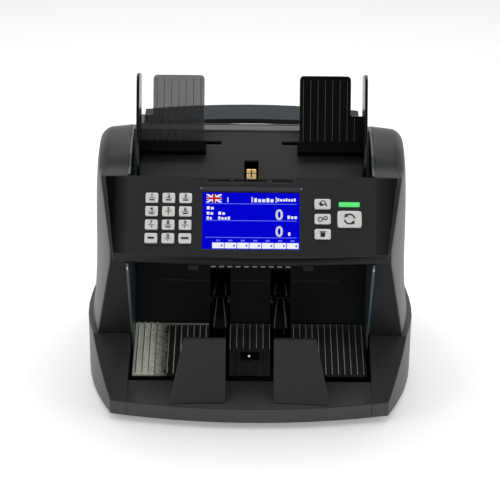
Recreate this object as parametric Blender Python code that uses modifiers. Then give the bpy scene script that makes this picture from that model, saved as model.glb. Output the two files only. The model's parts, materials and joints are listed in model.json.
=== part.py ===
"""Banknote counting machine: casing, hopper, stacker pocket, keypad and drive, each piece its own solid.

Frame: metres, +Z up, front towards -Y, origin under the middle of the machine on the surface it stands on.
"""

import math

import bmesh
import bpy
import numpy as np
from mathutils import Matrix, Vector

MM = 0.001

# Body: bowed plan outline, widest at mid depth
SIDE_BAY = 42.4 * MM
HALF_DEPTH = 132 * MM
SIDE_RADIUS = 247.5 * MM
REAR_SIDE_RADIUS = 720 * MM
FRONT_BOW = 15 * MM
FOOT_HEIGHT = 4.7 * MM
FOOT_RADIUS = 9 * MM
FOOT_IN_X = 50 * MM
FOOT_IN_Y = 37 * MM
GAP = 0.3 * MM
WALL = 2.2 * MM
TUB_FLOOR = 3 * MM
TUB_WALL = 7 * MM
BAND_HEIGHT = 13 * MM
TUB_TOP = 58 * MM
CREASE_Y = -70 * MM
LEDGE_BACK_Y = -103 * MM
LEDGE_TOP = 30 * MM
CHEEK_STEP = 2 * MM
FLANK_STEP = 4 * MM
PANEL_FLANK_INSET = 10 * MM
HUMP_FLANK_INSET = 12.6 * MM
CROWN_FLANK_INSET = 16 * MM
SPINE_START = 0.2
SPINE_SPAN = 0.6
FLANK_RING = 0.55
HUMP_ROUND = 7 * MM
HUMP_TOP = 223.5 * MM

# Crown of a side cover: shares of the reach back from the panel and of the rise above it
HUMP_PROFILE = (
    (0.06, 0.147),
    (0.11, 0.49),
    (0.18, 0.816),
    (0.272, 0.987),
    (0.3386, 0.975),
    (0.4, 0.791),
    (0.58, 0.171),
    (0.76, -0.49),
    (0.9, -1.35),
    (0.97, -2.49),
)

# Side frames: sheet steel, they carry every shaft
FRAME_INNER = 100.6 * MM
FRAME_THICKNESS = 2 * MM

# Control panel
PANEL_BOTTOM_Y = -104 * MM
PANEL_BOTTOM_Z = 146 * MM
PANEL_LENGTH = 67 * MM
PANEL_SLOPE = math.radians(52.3)
PANEL_THICKNESS = 3.2 * MM
PANEL_BOW = 3 * MM
PANEL_END_INSET = 2.5 * MM
LIP_HEIGHT = 9.5 * MM
LIP_BACK = 3 * MM
NOTCH_HALF_WIDTH = 37 * MM
NOTCH_DEPTH = 5 * MM
SCREEN_MARGIN = 12.25 * MM
SCREEN_HEIGHT = 48.5 * MM
SCREEN_UP = 29 * MM
SCREEN_RECESS = 1.2 * MM
WINDOW_THICKNESS = 1.2 * MM
MODULE_MARGIN = 5 * MM
MODULE_THICKNESS = 4.2 * MM
BOARD_THICKNESS = 1.6 * MM
LAMP_WIDTH = 17 * MM
LAMP_HEIGHT = 3.7 * MM
LAMP_UP = 43.7 * MM
LAMP_THICKNESS = 4 * MM
LAMP_PROUD = 0.3 * MM

# Keys: they slide along the panel's normal
KEY_PROUD = 1.5 * MM
KEY_TRAVEL = 1.2 * MM
KEY_CLEARANCE = 0.35 * MM
KEY_ROUND = 0.7 * MM
NUMBER_KEY_SIZE = (10.4 * MM, 8.4 * MM)
NUMBER_FROM_FRAME = 13.5 * MM
NUMBER_COLUMN_PITCH = 13.9 * MM
NUMBER_ROW_UP = 47.7 * MM
NUMBER_ROW_PITCH = 11.55 * MM
FUNCTION_KEY_SIZE = (13.3 * MM, 8.6 * MM)
FUNCTION_TO_START = 5.5 * MM
FUNCTION_ROW_UP = 43.5 * MM
FUNCTION_ROW_PITCH = 12.9 * MM
START_KEY_SIZE = (19.9 * MM, 14.2 * MM)
START_FROM_FRAME = 9.65 * MM
START_UP = 30.6 * MM

# Hopper
HOPPER_BOTTOM_Y = -47 * MM
HOPPER_BOTTOM_Z = 188 * MM
HOPPER_LENGTH = 50 * MM
HOPPER_SLOPE = math.radians(45.8)
HOPPER_THICKNESS = 3 * MM
HOPPER_LEDGE = 13 * MM
HOPPER_SLOT_UP = 37 * MM
HOPPER_SLOT_WIDTH = 3 * MM
HOPPER_SLOT_INNER = 26 * MM
HOPPER_SLOT_END = 8.6 * MM
SENSOR_HOLE_WIDTH = 12 * MM
SENSOR_HOLE_UP = 3.5 * MM
SENSOR_HOLE_LENGTH = 17 * MM
HEAD_WIDTH = 8 * MM
HEAD_LENGTH = 8 * MM
HEAD_DEPTH = 10 * MM
HEAD_PROUD = 2 * MM

# Note guides
GUIDE_TILT = math.radians(20)
GUIDE_HEIGHT = 64.6 * MM
GUIDE_UP = 28.5 * MM
GUIDE_SIDE_CLEARANCE = 4.6 * MM
GUIDE_FIN_THICKNESS = 2.4 * MM
GUIDE_FIN_DEPTH = 30 * MM
GUIDE_PLATE_WIDTH = 43.4 * MM
GUIDE_CORNER_WIDTH = 12.3 * MM
GUIDE_THICKNESS = 2.2 * MM
GUIDE_RIB_COUNT = 7
GUIDE_RIB_HEIGHT = 0.9 * MM
GUIDE_JOIN_HEIGHT = 31 * MM
GUIDE_FOOT_HEIGHT = 7 * MM
GUIDE_FOOT_DEPTH = 7 * MM
GUIDE_FOOT_OVERHANG = 1.5 * MM
GUIDE_CLEARANCE = 0.5 * MM

# Stacker pocket
MOUTH_CLEARANCE = 0.4 * MM
TRAY_FRONT_Y = -95 * MM
TRAY_FRONT_Z = 31 * MM
TRAY_BEND_Y = -40 * MM
TRAY_BEND_Z = 54 * MM
TRAY_THICKNESS = 2.2 * MM
TRAY_RIB_HEIGHT = 1.2 * MM
TRAY_RIB_WIDTH = 1.2 * MM
TRAY_CLEARANCE = 0.4 * MM
TRAY_INNER = 35.5 * MM
TRAY_CENTRE_HALF_WIDTH = 17.5 * MM
TRAY_SIDE_RIBS = 12
TRAY_CENTRE_RIBS = 4
TRAY_BACK_LENGTH = 52 * MM
TRAY_BACK_SLOPE = math.radians(72)
TRAY_BACK_BRIDGE = 5 * MM
LENS_WIDTH = 16 * MM
LENS_LENGTH = 8.5 * MM
LENS_THICKNESS = 1 * MM
LENS_UP = 20 * MM
EXIT_GUIDE_THICKNESS = 2 * MM
EXIT_GUIDE_KNEE = 0.55
STOPPER_TOP = 74 * MM
STOPPER_LEAN = 13 * MM
STOPPER_SET_BACK = 6 * MM
STOPPER_STEPS = 6
STOPPER_THICKNESS = 3.5 * MM
STOPPER_INNER = 20 * MM
STOPPER_OUTER_TOP = 55 * MM
STOPPER_OUTER_BOTTOM = 67 * MM

# Drive: shafts lie along X, places are (Y, Z)
SHAFT_RADIUS = 4 * MM
SHAFT_CLEARANCE = 0.4 * MM
SHAFT_END = 2 * MM
PICKUP_AT = (-40 * MM, 170 * MM)
FEED_AT = (-48 * MM, 140 * MM)
STACKER_AT = (-8 * MM, 62 * MM)
MOTOR_FROM_REAR = 54 * MM
MOTOR_Z = 46 * MM
PICKUP_ROLLER_RADIUS = 13 * MM
PICKUP_ROLLER_WIDTH = 16 * MM
PICKUP_ROLLER_X = 24 * MM
FEED_ROLLER_RADIUS = 16 * MM
FEED_ROLLER_WIDTH = 62 * MM
WHEEL_RADIUS = 39 * MM
WHEEL_HUB_RADIUS = 13 * MM
WHEEL_WIDTH = 13 * MM
WHEEL_X = 26.5 * MM
WHEEL_FINGERS = 8
WHEEL_FINGER_THICKNESS = 2.4 * MM
WHEEL_SWEEP = math.radians(62)
WHEEL_SHARES = (0.0, 0.35, 0.7, 1.0)
WHEEL_ROOT = 1.6
WHEEL_TAPER = 0.8
BELT_FROM_FRAME = 4.4 * MM
BELT_PITCH = 6.5 * MM
BELT_WIDTH = 5 * MM
BELT_THICKNESS = 1.4 * MM
BELT_CLEARANCE = 0.4 * MM
MOTOR_PULLEY_RADIUS = 10 * MM
FEED_PULLEY_RADIUS = 16 * MM
STACKER_PULLEY_RADIUS = 20 * MM
PICKUP_PULLEY_RADIUS = 11 * MM
MOTOR_RADIUS = 20 * MM
MOTOR_LENGTH = 55 * MM
MOTOR_SHAFT_RADIUS = 3 * MM
SUPPLY_SIZE = (88 * MM, 55 * MM, 36 * MM)
SUPPLY_FROM_FRAME = 6.6 * MM
SUPPLY_FROM_REAR = 18.5 * MM
MAIN_BOARD_LENGTH = 92 * MM
MAIN_BOARD_HEIGHT = 78 * MM
MAIN_BOARD_AT = (62 * MM, 110 * MM)

# Rear cover, carry handle, inlet and switch
REAR_LIP_Z = 223.2 * MM
REAR_EDGE_Y = 6.5 * MM
REAR_EDGE_Z = 205 * MM
REAR_CREST_Y = 62 * MM
REAR_CREST_Z = 197.5 * MM
REAR_SHOULDER_Y = 105.6 * MM
REAR_SHOULDER_Z = 168 * MM
REAR_KNEE_Z = 132 * MM
REAR_DRAFT = 4 * MM
HANDLE_PIVOT = (14 * MM, 212.5 * MM)
HANDLE_TILT = math.radians(12)
HANDLE_REACH = 48 * MM
HANDLE_BOW = 10 * MM
HANDLE_GRIP = 27 * MM
HANDLE_LEG = 9 * MM
HANDLE_SIDE_GAP = 5.6 * MM
HANDLE_THICKNESS = 5 * MM
HANDLE_PIN_RADIUS = 2.5 * MM
HANDLE_BOSS_RADIUS = 4.5 * MM
INLET_SIZE = (27 * MM, 20 * MM, 20 * MM)
INLET_WALL = 2.5 * MM
INLET_X = 62 * MM
SOCKET_Z = 86 * MM
SWITCH_SIZE = (19 * MM, 12 * MM, 9 * MM)
SWITCH_X = 28 * MM
SWITCH_TILT = math.radians(7)
SWITCH_CLEARANCE = 0.8 * MM

# Colours of the pieces: linear RGB, roughness, metallic
FINISHES = {
    "body_plastic": ((0.026, 0.026, 0.027), 0.42, 0.0),
    "panel_plastic": ((0.024, 0.024, 0.025), 0.5, 0.0),
    "smoke_plastic": ((0.05, 0.055, 0.06), 0.15, 0.0),
    "black_plastic": ((0.01, 0.01, 0.011), 0.35, 0.0),
    "tray_plastic": ((0.018, 0.018, 0.018), 0.25, 0.0),
    "key_plastic": ((0.8, 0.8, 0.78), 0.45, 0.0),
    "screen_glass": ((0.0, 0.0, 0.68), 0.1, 0.0),
    "lamp_green": ((0.13, 0.83, 0.2), 0.3, 0.0),
    "steel": ((0.5, 0.5, 0.5), 0.35, 1.0),
    "brass": ((0.78, 0.55, 0.2), 0.25, 1.0),
    "rubber": ((0.02, 0.02, 0.02), 0.8, 0.0),
    "board_green": ((0.02, 0.16, 0.06), 0.5, 0.0),
}

# Derived places
TUB_BOTTOM = FOOT_HEIGHT + GAP
BAND_TOP = TUB_BOTTOM + BAND_HEIGHT
FRONT_CORNER_Y = -HALF_DEPTH + FRONT_BOW
PANEL_TOP_Y = PANEL_BOTTOM_Y + PANEL_LENGTH * math.cos(PANEL_SLOPE)
PANEL_TOP_Z = PANEL_BOTTOM_Z + PANEL_LENGTH * math.sin(PANEL_SLOPE)
FRAME_OUTER = FRAME_INNER + FRAME_THICKNESS
HALF_WIDTH = FRAME_OUTER + SIDE_BAY
MOTOR_AT = (HALF_DEPTH - MOTOR_FROM_REAR, MOTOR_Z)
MOUTH_HALF_WIDTH = FRAME_OUTER + MOUTH_CLEARANCE
TRAY_OUTER = FRAME_INNER - TRAY_CLEARANCE
GUIDE_OUTER = FRAME_INNER - GUIDE_SIDE_CLEARANCE
GUIDE_PLATE_OUTER = GUIDE_OUTER - GUIDE_CORNER_WIDTH
GUIDE_PLATE_INNER = GUIDE_PLATE_OUTER - GUIDE_PLATE_WIDTH
HOPPER_SLOT_OUTER = FRAME_INNER - HOPPER_SLOT_END
HANDLE_HALF_WIDTH = FRAME_INNER - HANDLE_SIDE_GAP
DRIVE_BELT_X = -FRAME_OUTER - BELT_FROM_FRAME
PICKUP_BELT_X = DRIVE_BELT_X - BELT_PITCH
START_X = FRAME_INNER - START_FROM_FRAME - START_KEY_SIZE[0] / 2
FUNCTION_X = START_X - START_KEY_SIZE[0] / 2 - FUNCTION_TO_START - FUNCTION_KEY_SIZE[0] / 2
LAMP_X = START_X
NUMBER_LEFT_X = -FRAME_INNER + NUMBER_FROM_FRAME + NUMBER_KEY_SIZE[0] / 2
NUMBER_COLUMNS = tuple(NUMBER_LEFT_X + k * NUMBER_COLUMN_PITCH for k in range(3))
SCREEN_WIDTH = 2 * (FUNCTION_X - FUNCTION_KEY_SIZE[0] / 2 - SCREEN_MARGIN)
COVER_INNER = FRAME_OUTER + GAP
COVER_FLOOR = TUB_TOP + 3 * GAP
KEY_BOTTOM = -(PANEL_THICKNESS + MODULE_THICKNESS + 2 * GAP) + KEY_TRAVEL + GAP
ARC_STEPS = 10
ROUND_STEPS = 24

YZ_PLANE = Matrix(((0, 0, 1, 0), (1, 0, 0, 0), (0, 1, 0, 0), (0, 0, 0, 1)))


def clear_scene():
    """Removes whatever the file held before."""
    for thing in list(bpy.data.objects):
        bpy.data.objects.remove(thing)


def new_collection(name):
    """A collection linked under the scene."""
    made = bpy.data.collections.new(name)
    bpy.context.scene.collection.children.link(made)
    return made


def new_material(name):
    """A Principled material from the table of finishes."""
    colour, roughness, metallic = FINISHES[name]
    made = bpy.data.materials.new(name)
    made.use_nodes = True
    shader = made.node_tree.nodes["Principled BSDF"]
    shader.inputs["Base Color"].default_value = (*colour, 1.0)
    shader.inputs["Roughness"].default_value = roughness
    shader.inputs["Metallic"].default_value = metallic
    made.diffuse_color = (*colour, 1.0)
    return made


clear_scene()
PARTS = new_collection("banknote_counter")
CUTTERS = new_collection("cutters")
MATERIALS = {name: new_material(name) for name in FINISHES}


def add_part(name, mesh, finish, place=Matrix.Identity(4)):
    """Puts a mesh in the scene as a named piece with its material."""
    piece = bpy.data.objects.new(name, mesh)
    piece.matrix_world = place
    mesh.materials.clear()
    mesh.materials.append(MATERIALS[finish])
    PARTS.objects.link(piece)
    return piece


def add_helper(name, mesh, place=Matrix.Identity(4)):
    """Puts a mesh in the scene as a hidden operand for a Boolean."""
    helper = bpy.data.objects.new(name, mesh)
    helper.matrix_world = place
    helper.hide_render = True
    helper.display_type = "WIRE"
    CUTTERS.objects.link(helper)
    return helper


def combine(piece, helper, operation):
    """Adds a live Boolean of the helper to the piece."""
    modifier = piece.modifiers.new(helper.name, "BOOLEAN")
    modifier.operation = operation
    modifier.object = helper
    modifier.solver = "EXACT"


def box_mesh(name, low, high):
    """A box between two corners."""
    mesh = bpy.data.meshes.new(name)
    shape = bmesh.new()
    bmesh.ops.create_cube(shape, size=1.0)
    middle = (Vector(low) + Vector(high)) / 2
    size = Vector(high) - Vector(low)
    for vert in shape.verts:
        vert.co = middle + Vector(c * s for c, s in zip(vert.co, size))
    shape.to_mesh(mesh)
    shape.free()
    return mesh


def cylinder_mesh(name, radius, low, high):
    """A cylinder on local Z between two heights."""
    mesh = bpy.data.meshes.new(name)
    shape = bmesh.new()
    bmesh.ops.create_cone(
        shape, cap_ends=True, segments=ROUND_STEPS, radius1=radius, radius2=radius, depth=high - low
    )
    bmesh.ops.translate(shape, verts=shape.verts, vec=(0, 0, (low + high) / 2))
    shape.to_mesh(mesh)
    shape.free()
    return mesh


def outline_mesh(name, outlines, low, high):
    """A flat outline, the first loop, less the other loops, thickened from low to high on local Z."""
    curve = bpy.data.curves.new(name, "CURVE")
    curve.dimensions = "2D"
    curve.fill_mode = "BOTH"
    curve.extrude = (high - low) / 2
    for loop in outlines:
        spline = curve.splines.new("POLY")
        spline.points.add(len(loop) - 1)
        for point, (x, y) in zip(spline.points, loop):
            point.co = (x, y, 0, 1)
        spline.use_cyclic_u = True
    drawn = bpy.data.objects.new(name, curve)
    CUTTERS.objects.link(drawn)
    graph = bpy.context.evaluated_depsgraph_get()
    mesh = bpy.data.meshes.new_from_object(drawn.evaluated_get(graph))
    bpy.data.objects.remove(drawn)
    shape = bmesh.new()
    shape.from_mesh(mesh)
    bmesh.ops.remove_doubles(shape, verts=shape.verts, dist=1e-6)
    caps = [face for face in shape.faces if len(face.verts) == 3]
    seams = {edge for face in caps for edge in face.edges if all(f in caps for f in edge.link_faces)}
    bmesh.ops.beautify_fill(shape, faces=caps, edges=list(seams))
    bmesh.ops.translate(shape, verts=shape.verts, vec=(0, 0, (low + high) / 2))
    bmesh.ops.recalc_face_normals(shape, faces=shape.faces)
    shape.to_mesh(mesh)
    shape.free()
    return mesh


def loft_mesh(name, rings):
    """A closed solid through rings of equal point counts, with a flat cap at each end."""
    mesh = bpy.data.meshes.new(name)
    shape = bmesh.new()
    rows = [[shape.verts.new(point) for point in ring] for ring in rings]
    for lower, upper in zip(rows, rows[1:]):
        for k in range(len(lower)):
            after = (k + 1) % len(lower)
            shape.faces.new((lower[k], lower[after], upper[after], upper[k]))
    shape.faces.new(rows[0])
    shape.faces.new(rows[-1])
    bmesh.ops.triangulate(shape, faces=shape.faces)
    bmesh.ops.recalc_face_normals(shape, faces=shape.faces)
    shape.to_mesh(mesh)
    shape.free()
    return mesh


def sheet_mesh(name, grid, flip=False):
    """An open surface over a grid of points."""
    rows, columns = len(grid), len(grid[0])
    points = [point for row in grid for point in row]
    faces = []
    for i in range(rows - 1):
        for j in range(columns - 1):
            quad = (i * columns + j, i * columns + j + 1, (i + 1) * columns + j + 1, (i + 1) * columns + j)
            faces.append(quad[::-1] if flip else quad)
    mesh = bpy.data.meshes.new(name)
    mesh.from_pydata([tuple(p) for p in points], [], faces)
    mesh.update()
    return mesh


def thicken(piece, thickness):
    """Gives a sheet its wall, on the inner side of its faces."""
    modifier = piece.modifiers.new("wall", "SOLIDIFY")
    modifier.thickness = thickness
    modifier.offset = -1
    modifier.use_even_offset = True
    return modifier


def turned(name, profile, finish, place):
    """A turned piece: (radius, height) points from the top down, spun about local Z."""
    mesh = bpy.data.meshes.new(name)
    count = len(profile)
    edges = [(k, k + 1) for k in range(count - 1)]
    mesh.from_pydata([(r, 0, h) for r, h in profile], edges, [])
    piece = add_part(name, mesh, finish, place)
    spin = piece.modifiers.new("turn", "SCREW")
    spin.angle = math.tau
    spin.steps = ROUND_STEPS
    spin.render_steps = ROUND_STEPS
    spin.use_merge_vertices = True
    spin.merge_threshold = 1e-6
    return piece


def circle(centre, radius, steps=ROUND_STEPS):
    """Points round a circle."""
    turns = np.linspace(0, math.tau, steps, endpoint=False)
    return [(centre[0] + radius * math.cos(t), centre[1] + radius * math.sin(t)) for t in turns]


def rectangle(centre, size):
    """Corner points of a rectangle."""
    half_x, half_y = size[0] / 2, size[1] / 2
    x, y = centre
    corners = ((-half_x, -half_y), (half_x, -half_y), (half_x, half_y), (-half_x, half_y))
    return [(x + across, y + along) for across, along in corners]


def along_x(place):
    """Local Z along world X, at a (Y, Z) place."""
    return Matrix.Translation((0, *place)) @ YZ_PLANE


def sloped(y, z, angle):
    """A plane that rises to the rear: local x across, local y up the slope, local z out of its face."""
    return Matrix.Translation((0, y, z)) @ Matrix.Rotation(angle, 4, "X")


PANEL_PLANE = sloped(PANEL_BOTTOM_Y, PANEL_BOTTOM_Z, PANEL_SLOPE)
HOPPER_PLANE = sloped(HOPPER_BOTTOM_Y, HOPPER_BOTTOM_Z, HOPPER_SLOPE)
TRAY_SLOPE = math.atan2(TRAY_BEND_Z - TRAY_FRONT_Z, TRAY_BEND_Y - TRAY_FRONT_Y)
TRAY_LENGTH = math.hypot(TRAY_BEND_Z - TRAY_FRONT_Z, TRAY_BEND_Y - TRAY_FRONT_Y)
TRAY_PLANE = sloped(TRAY_FRONT_Y, TRAY_FRONT_Z, TRAY_SLOPE)


def plan_half_width(y):
    """Half width of the base at a depth: a shallow arc, widest in the middle, flatter to the rear."""
    radius = SIDE_RADIUS if y < 0 else REAR_SIDE_RADIUS
    return HALF_WIDTH - y * y / (2 * radius)


def flank_inset(z):
    """How far the upper flank stands inside the base at a height."""
    heights = (TUB_TOP, PANEL_BOTTOM_Z, PANEL_TOP_Z, HUMP_TOP)
    insets = (FLANK_STEP, PANEL_FLANK_INSET, HUMP_FLANK_INSET, CROWN_FLANK_INSET)
    return float(np.interp(z, heights, insets))


def flank_x(y, z):
    """Outer X of the upper body at a depth and height."""
    return plan_half_width(y) - flank_inset(z)


def front_y(x, inset=0.0):
    """The bowed front edge of the base at a given X."""
    corner = plan_half_width(FRONT_CORNER_Y)
    return -HALF_DEPTH + inset + FRONT_BOW * (x / corner) ** 2


def tub_sections():
    """Half the tub, from its front middle round to the rear: outer edge and inner edge of each section."""
    corner = plan_half_width(FRONT_CORNER_Y)
    sections = []
    for x in np.linspace(0, MOUTH_HALF_WIDTH - 2 * GAP, ARC_STEPS + 1):
        sections.append(((x, front_y(x), BAND_TOP), (x, LEDGE_BACK_Y, LEDGE_TOP)))
    front = [(x, front_y(x)) for x in np.linspace(MOUTH_HALF_WIDTH, corner, ARC_STEPS // 2)]
    depths = np.linspace(FRONT_CORNER_Y, CREASE_Y, ARC_STEPS + 1)[1:]
    cheek = front + [(plan_half_width(y), y) for y in depths]
    for share, (x, y) in zip(np.linspace(0, 1, len(cheek)), cheek):
        rise = (y - FRONT_CORNER_Y) / (CREASE_Y - FRONT_CORNER_Y)
        outer_z = BAND_TOP + (TUB_TOP - BAND_TOP) * max(0.0, rise)
        inner_y = LEDGE_BACK_Y + (CREASE_Y - LEDGE_BACK_Y) * share
        inner_z = LEDGE_TOP + CHEEK_STEP + (TUB_TOP - LEDGE_TOP - CHEEK_STEP) * share
        sections.append(((x, y, outer_z), (MOUTH_HALF_WIDTH, inner_y, inner_z)))
    for y in np.linspace(CREASE_Y + TUB_WALL / 2, HALF_DEPTH, ARC_STEPS + 1):
        inner = (plan_half_width(y) - TUB_WALL, min(y, HALF_DEPTH - TUB_WALL), TUB_TOP)
        sections.append(((plan_half_width(y), y, TUB_TOP), inner))
    return sections


def build_tub():
    """The base: a tub with a bowed front band, sloping cheeks and a front ledge, lofted down both its walls."""
    right = tub_sections()
    left = [tuple((-x, y, z) for x, y, z in section) for section in reversed(right[1:])]
    sections = right + left
    outer_top = [outer for outer, _ in sections]
    inner_top = [inner for _, inner in sections]
    outer_bottom = [(x, y, TUB_BOTTOM) for x, y, _ in outer_top]
    inner_floor = [(x, y, TUB_BOTTOM + TUB_FLOOR) for x, y, _ in inner_top]
    mesh = loft_mesh("base_tub", [outer_bottom, outer_top, inner_top, inner_floor])
    add_part("base_tub", mesh, "body_plastic")


def build_feet():
    """Four rubber feet under the tub."""
    for row, y in (("front", -HALF_DEPTH + FOOT_IN_Y), ("rear", HALF_DEPTH - FOOT_IN_Y)):
        for side, x in (("left", -HALF_WIDTH + FOOT_IN_X), ("right", HALF_WIDTH - FOOT_IN_X)):
            name = f"{row}_{side}_foot"
            mesh = cylinder_mesh(name, FOOT_RADIUS, 0, FOOT_HEIGHT)
            add_part(name, mesh, "rubber", Matrix.Translation((x, y, 0)))


def cover_path():
    """Side profile of a side cover as (Y, Z) points, from the crease over the hump to the rear."""
    behind_panel = PANEL_THICKNESS + 2 * GAP
    inward = Vector((math.sin(PANEL_SLOPE), -math.cos(PANEL_SLOPE))) * behind_panel
    up_slope = Vector((math.cos(PANEL_SLOPE), math.sin(PANEL_SLOPE)))
    bottom = Vector((PANEL_BOTTOM_Y, PANEL_BOTTOM_Z))
    top = Vector((PANEL_TOP_Y, PANEL_TOP_Z))
    facet_end = bottom + Vector((LIP_BACK + GAP, -LIP_HEIGHT - 3 * GAP))
    lip_step = facet_end + Vector((2 * PANEL_THICKNESS, 0))
    rise = HUMP_TOP - PANEL_TOP_Z
    reach = HALF_DEPTH - PANEL_TOP_Y
    crown = [top + Vector((reach * a, rise * b)) for a, b in HUMP_PROFILE]
    rear_y = HALF_DEPTH - 2 * GAP
    return [
        Vector((CREASE_Y, COVER_FLOOR)),
        facet_end,
        lip_step,
        bottom + inward + up_slope * behind_panel,
        top + inward + up_slope * 4 * GAP,
        top + up_slope * 4 * GAP,
        *crown,
        Vector((rear_y, (TUB_TOP + PANEL_BOTTOM_Z) / 2)),
        Vector((rear_y, COVER_FLOOR)),
    ]


def build_side_cover(name, side):
    """One side cover: a moulded shell that fans from its profile down to the tub's rim, side is -1 or 1."""
    path = cover_path()
    floor = COVER_FLOOR
    count = len(path) - 1
    grid = []
    for k, (y, z) in enumerate(path):
        spine = Vector((CREASE_Y + (HALF_DEPTH - CREASE_Y) * (SPINE_START + SPINE_SPAN * k / count), floor))
        to_spine = spine - Vector((y, z))
        step = to_spine.normalized() * min(HUMP_ROUND, to_spine.length / 4)
        quarter = 1 - math.sqrt(0.5)
        row = [(COVER_INNER, y, z)]
        for across, down in ((1.0, 0.0), (quarter, quarter), (0.0, 1.0)):
            py, pz = Vector((y, z)) + step * down
            row.append((flank_x(py, pz) - HUMP_ROUND * across, py, pz))
        for share in (FLANK_RING, 1.0):
            py, pz = Vector((y, z)).lerp(spine, share)
            row.append((flank_x(py, pz), py, pz))
        grid.append([(side * px, py, pz) for px, py, pz in row])
    cover = add_part(name, sheet_mesh(name, grid, flip=side < 0), "body_plastic")
    thicken(cover, WALL)


def build_frame(name, side):
    """One side frame: a steel sheet with a bearing hole for each shaft, side is -1 or 1."""
    front = CREASE_Y + TUB_WALL
    back = HALF_DEPTH - TUB_WALL - 2 * GAP
    bottom = TUB_BOTTOM + TUB_FLOOR + GAP
    rim = COVER_FLOOR
    outline = [tuple(p) for p in cover_path()]
    outline += [(back, rim), (back, bottom), (front, bottom), (front, rim)]
    bore = SHAFT_RADIUS + SHAFT_CLEARANCE
    holes = [circle(at, bore) for at in (PICKUP_AT, FEED_AT, STACKER_AT)]
    holes.append(circle(MOTOR_AT, MOTOR_SHAFT_RADIUS + SHAFT_CLEARANCE))
    holes.append(circle(HANDLE_PIVOT, HANDLE_PIN_RADIUS + SHAFT_CLEARANCE))
    faces = sorted((side * FRAME_INNER, side * FRAME_OUTER))
    add_part(name, outline_mesh(name, [outline, *holes], *faces), "steel", YZ_PLANE)


def key_places():
    """Name, size and place on the panel of every key."""
    places = []
    names = ("1", "2", "3", "4", "5", "6", "7", "8", "9", "left", "0", "right")
    for index, label in enumerate(names):
        row, column = divmod(index, len(NUMBER_COLUMNS))
        up = NUMBER_ROW_UP - row * NUMBER_ROW_PITCH
        places.append((f"key_{label}", NUMBER_KEY_SIZE, (NUMBER_COLUMNS[column], up)))
    for row, label in enumerate(("upper", "middle", "lower")):
        up = FUNCTION_ROW_UP - row * FUNCTION_ROW_PITCH
        places.append((f"key_function_{label}", FUNCTION_KEY_SIZE, (FUNCTION_X, up)))
    places.append(("key_start", START_KEY_SIZE, (START_X, START_UP)))
    return places


def build_panel():
    """The sloping control panel with its lip, and what it holds."""
    low_half = flank_x(PANEL_BOTTOM_Y, PANEL_BOTTOM_Z)
    high_half = flank_x(PANEL_TOP_Y, PANEL_TOP_Z) - PANEL_END_INSET
    across = np.linspace(-1, 1, 2 * ARC_STEPS + 1)
    bottom = [(t * low_half, -PANEL_BOW * (1 - t * t)) for t in across]
    notch_floor = PANEL_LENGTH - NOTCH_DEPTH
    top = [
        (high_half, PANEL_LENGTH),
        (NOTCH_HALF_WIDTH, PANEL_LENGTH),
        (NOTCH_HALF_WIDTH, notch_floor),
        (-NOTCH_HALF_WIDTH, notch_floor),
        (-NOTCH_HALF_WIDTH, PANEL_LENGTH),
        (-high_half, PANEL_LENGTH),
    ]
    loops = [bottom + top]
    loops.append(rectangle((0, SCREEN_UP), (SCREEN_WIDTH + 2 * GAP, SCREEN_HEIGHT + 2 * GAP)))
    loops.append(rectangle((LAMP_X, LAMP_UP), (LAMP_WIDTH + 2 * GAP, LAMP_HEIGHT + 2 * GAP)))
    for _, size, place in key_places():
        loops.append(rectangle(place, [s + 2 * KEY_CLEARANCE for s in size]))
    mesh = outline_mesh("control_panel", loops, -PANEL_THICKNESS, 0)
    panel = add_part("control_panel", mesh, "panel_plastic", PANEL_PLANE)

    edge = [PANEL_PLANE @ Vector((x, y, -PANEL_THICKNESS / 2)) for x, y in bottom]
    rings = []
    for point in edge:
        x, y, z = point
        depth = PANEL_THICKNESS / 2
        rings.append(
            [
                (x, y - depth / 2, z + depth / 2),
                (x, y + LIP_BACK, z - LIP_HEIGHT + depth),
                (x, y + LIP_BACK + depth, z - LIP_HEIGHT + depth),
                (x, y + 2 * depth, z + depth / 2),
            ]
        )
    combine(panel, add_helper("panel_lip", loft_mesh("panel_lip", rings)), "UNION")

    window_low = -SCREEN_RECESS - WINDOW_THICKNESS
    window = box_mesh(
        "screen_window",
        (-SCREEN_WIDTH / 2, SCREEN_UP - SCREEN_HEIGHT / 2, window_low),
        (SCREEN_WIDTH / 2, SCREEN_UP + SCREEN_HEIGHT / 2, -SCREEN_RECESS),
    )
    add_part("screen_window", window, "screen_glass", PANEL_PLANE)
    module_high = -PANEL_THICKNESS - GAP
    module_low = module_high - MODULE_THICKNESS
    module_half = (SCREEN_WIDTH / 2 + MODULE_MARGIN, SCREEN_HEIGHT / 2 + MODULE_MARGIN)
    module = box_mesh(
        "display_module",
        (-module_half[0], SCREEN_UP - SCREEN_HEIGHT / 2, module_low),
        (module_half[0], SCREEN_UP + module_half[1], module_high),
    )
    add_part("display_module", module, "steel", PANEL_PLANE)
    board_high = module_low - GAP
    board_half = FRAME_INNER - START_FROM_FRAME / 2
    board = box_mesh(
        "keypad_board",
        (-board_half, SCREEN_UP - SCREEN_HEIGHT / 2, board_high - BOARD_THICKNESS),
        (board_half, SCREEN_UP + SCREEN_HEIGHT / 2, board_high),
    )
    add_part("keypad_board", board, "board_green", PANEL_PLANE)
    lamp = box_mesh(
        "status_lamp",
        (LAMP_X - LAMP_WIDTH / 2, LAMP_UP - LAMP_HEIGHT / 2, LAMP_PROUD - LAMP_THICKNESS),
        (LAMP_X + LAMP_WIDTH / 2, LAMP_UP + LAMP_HEIGHT / 2, LAMP_PROUD),
    )
    add_part("status_lamp", lamp, "lamp_green", PANEL_PLANE)


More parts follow.
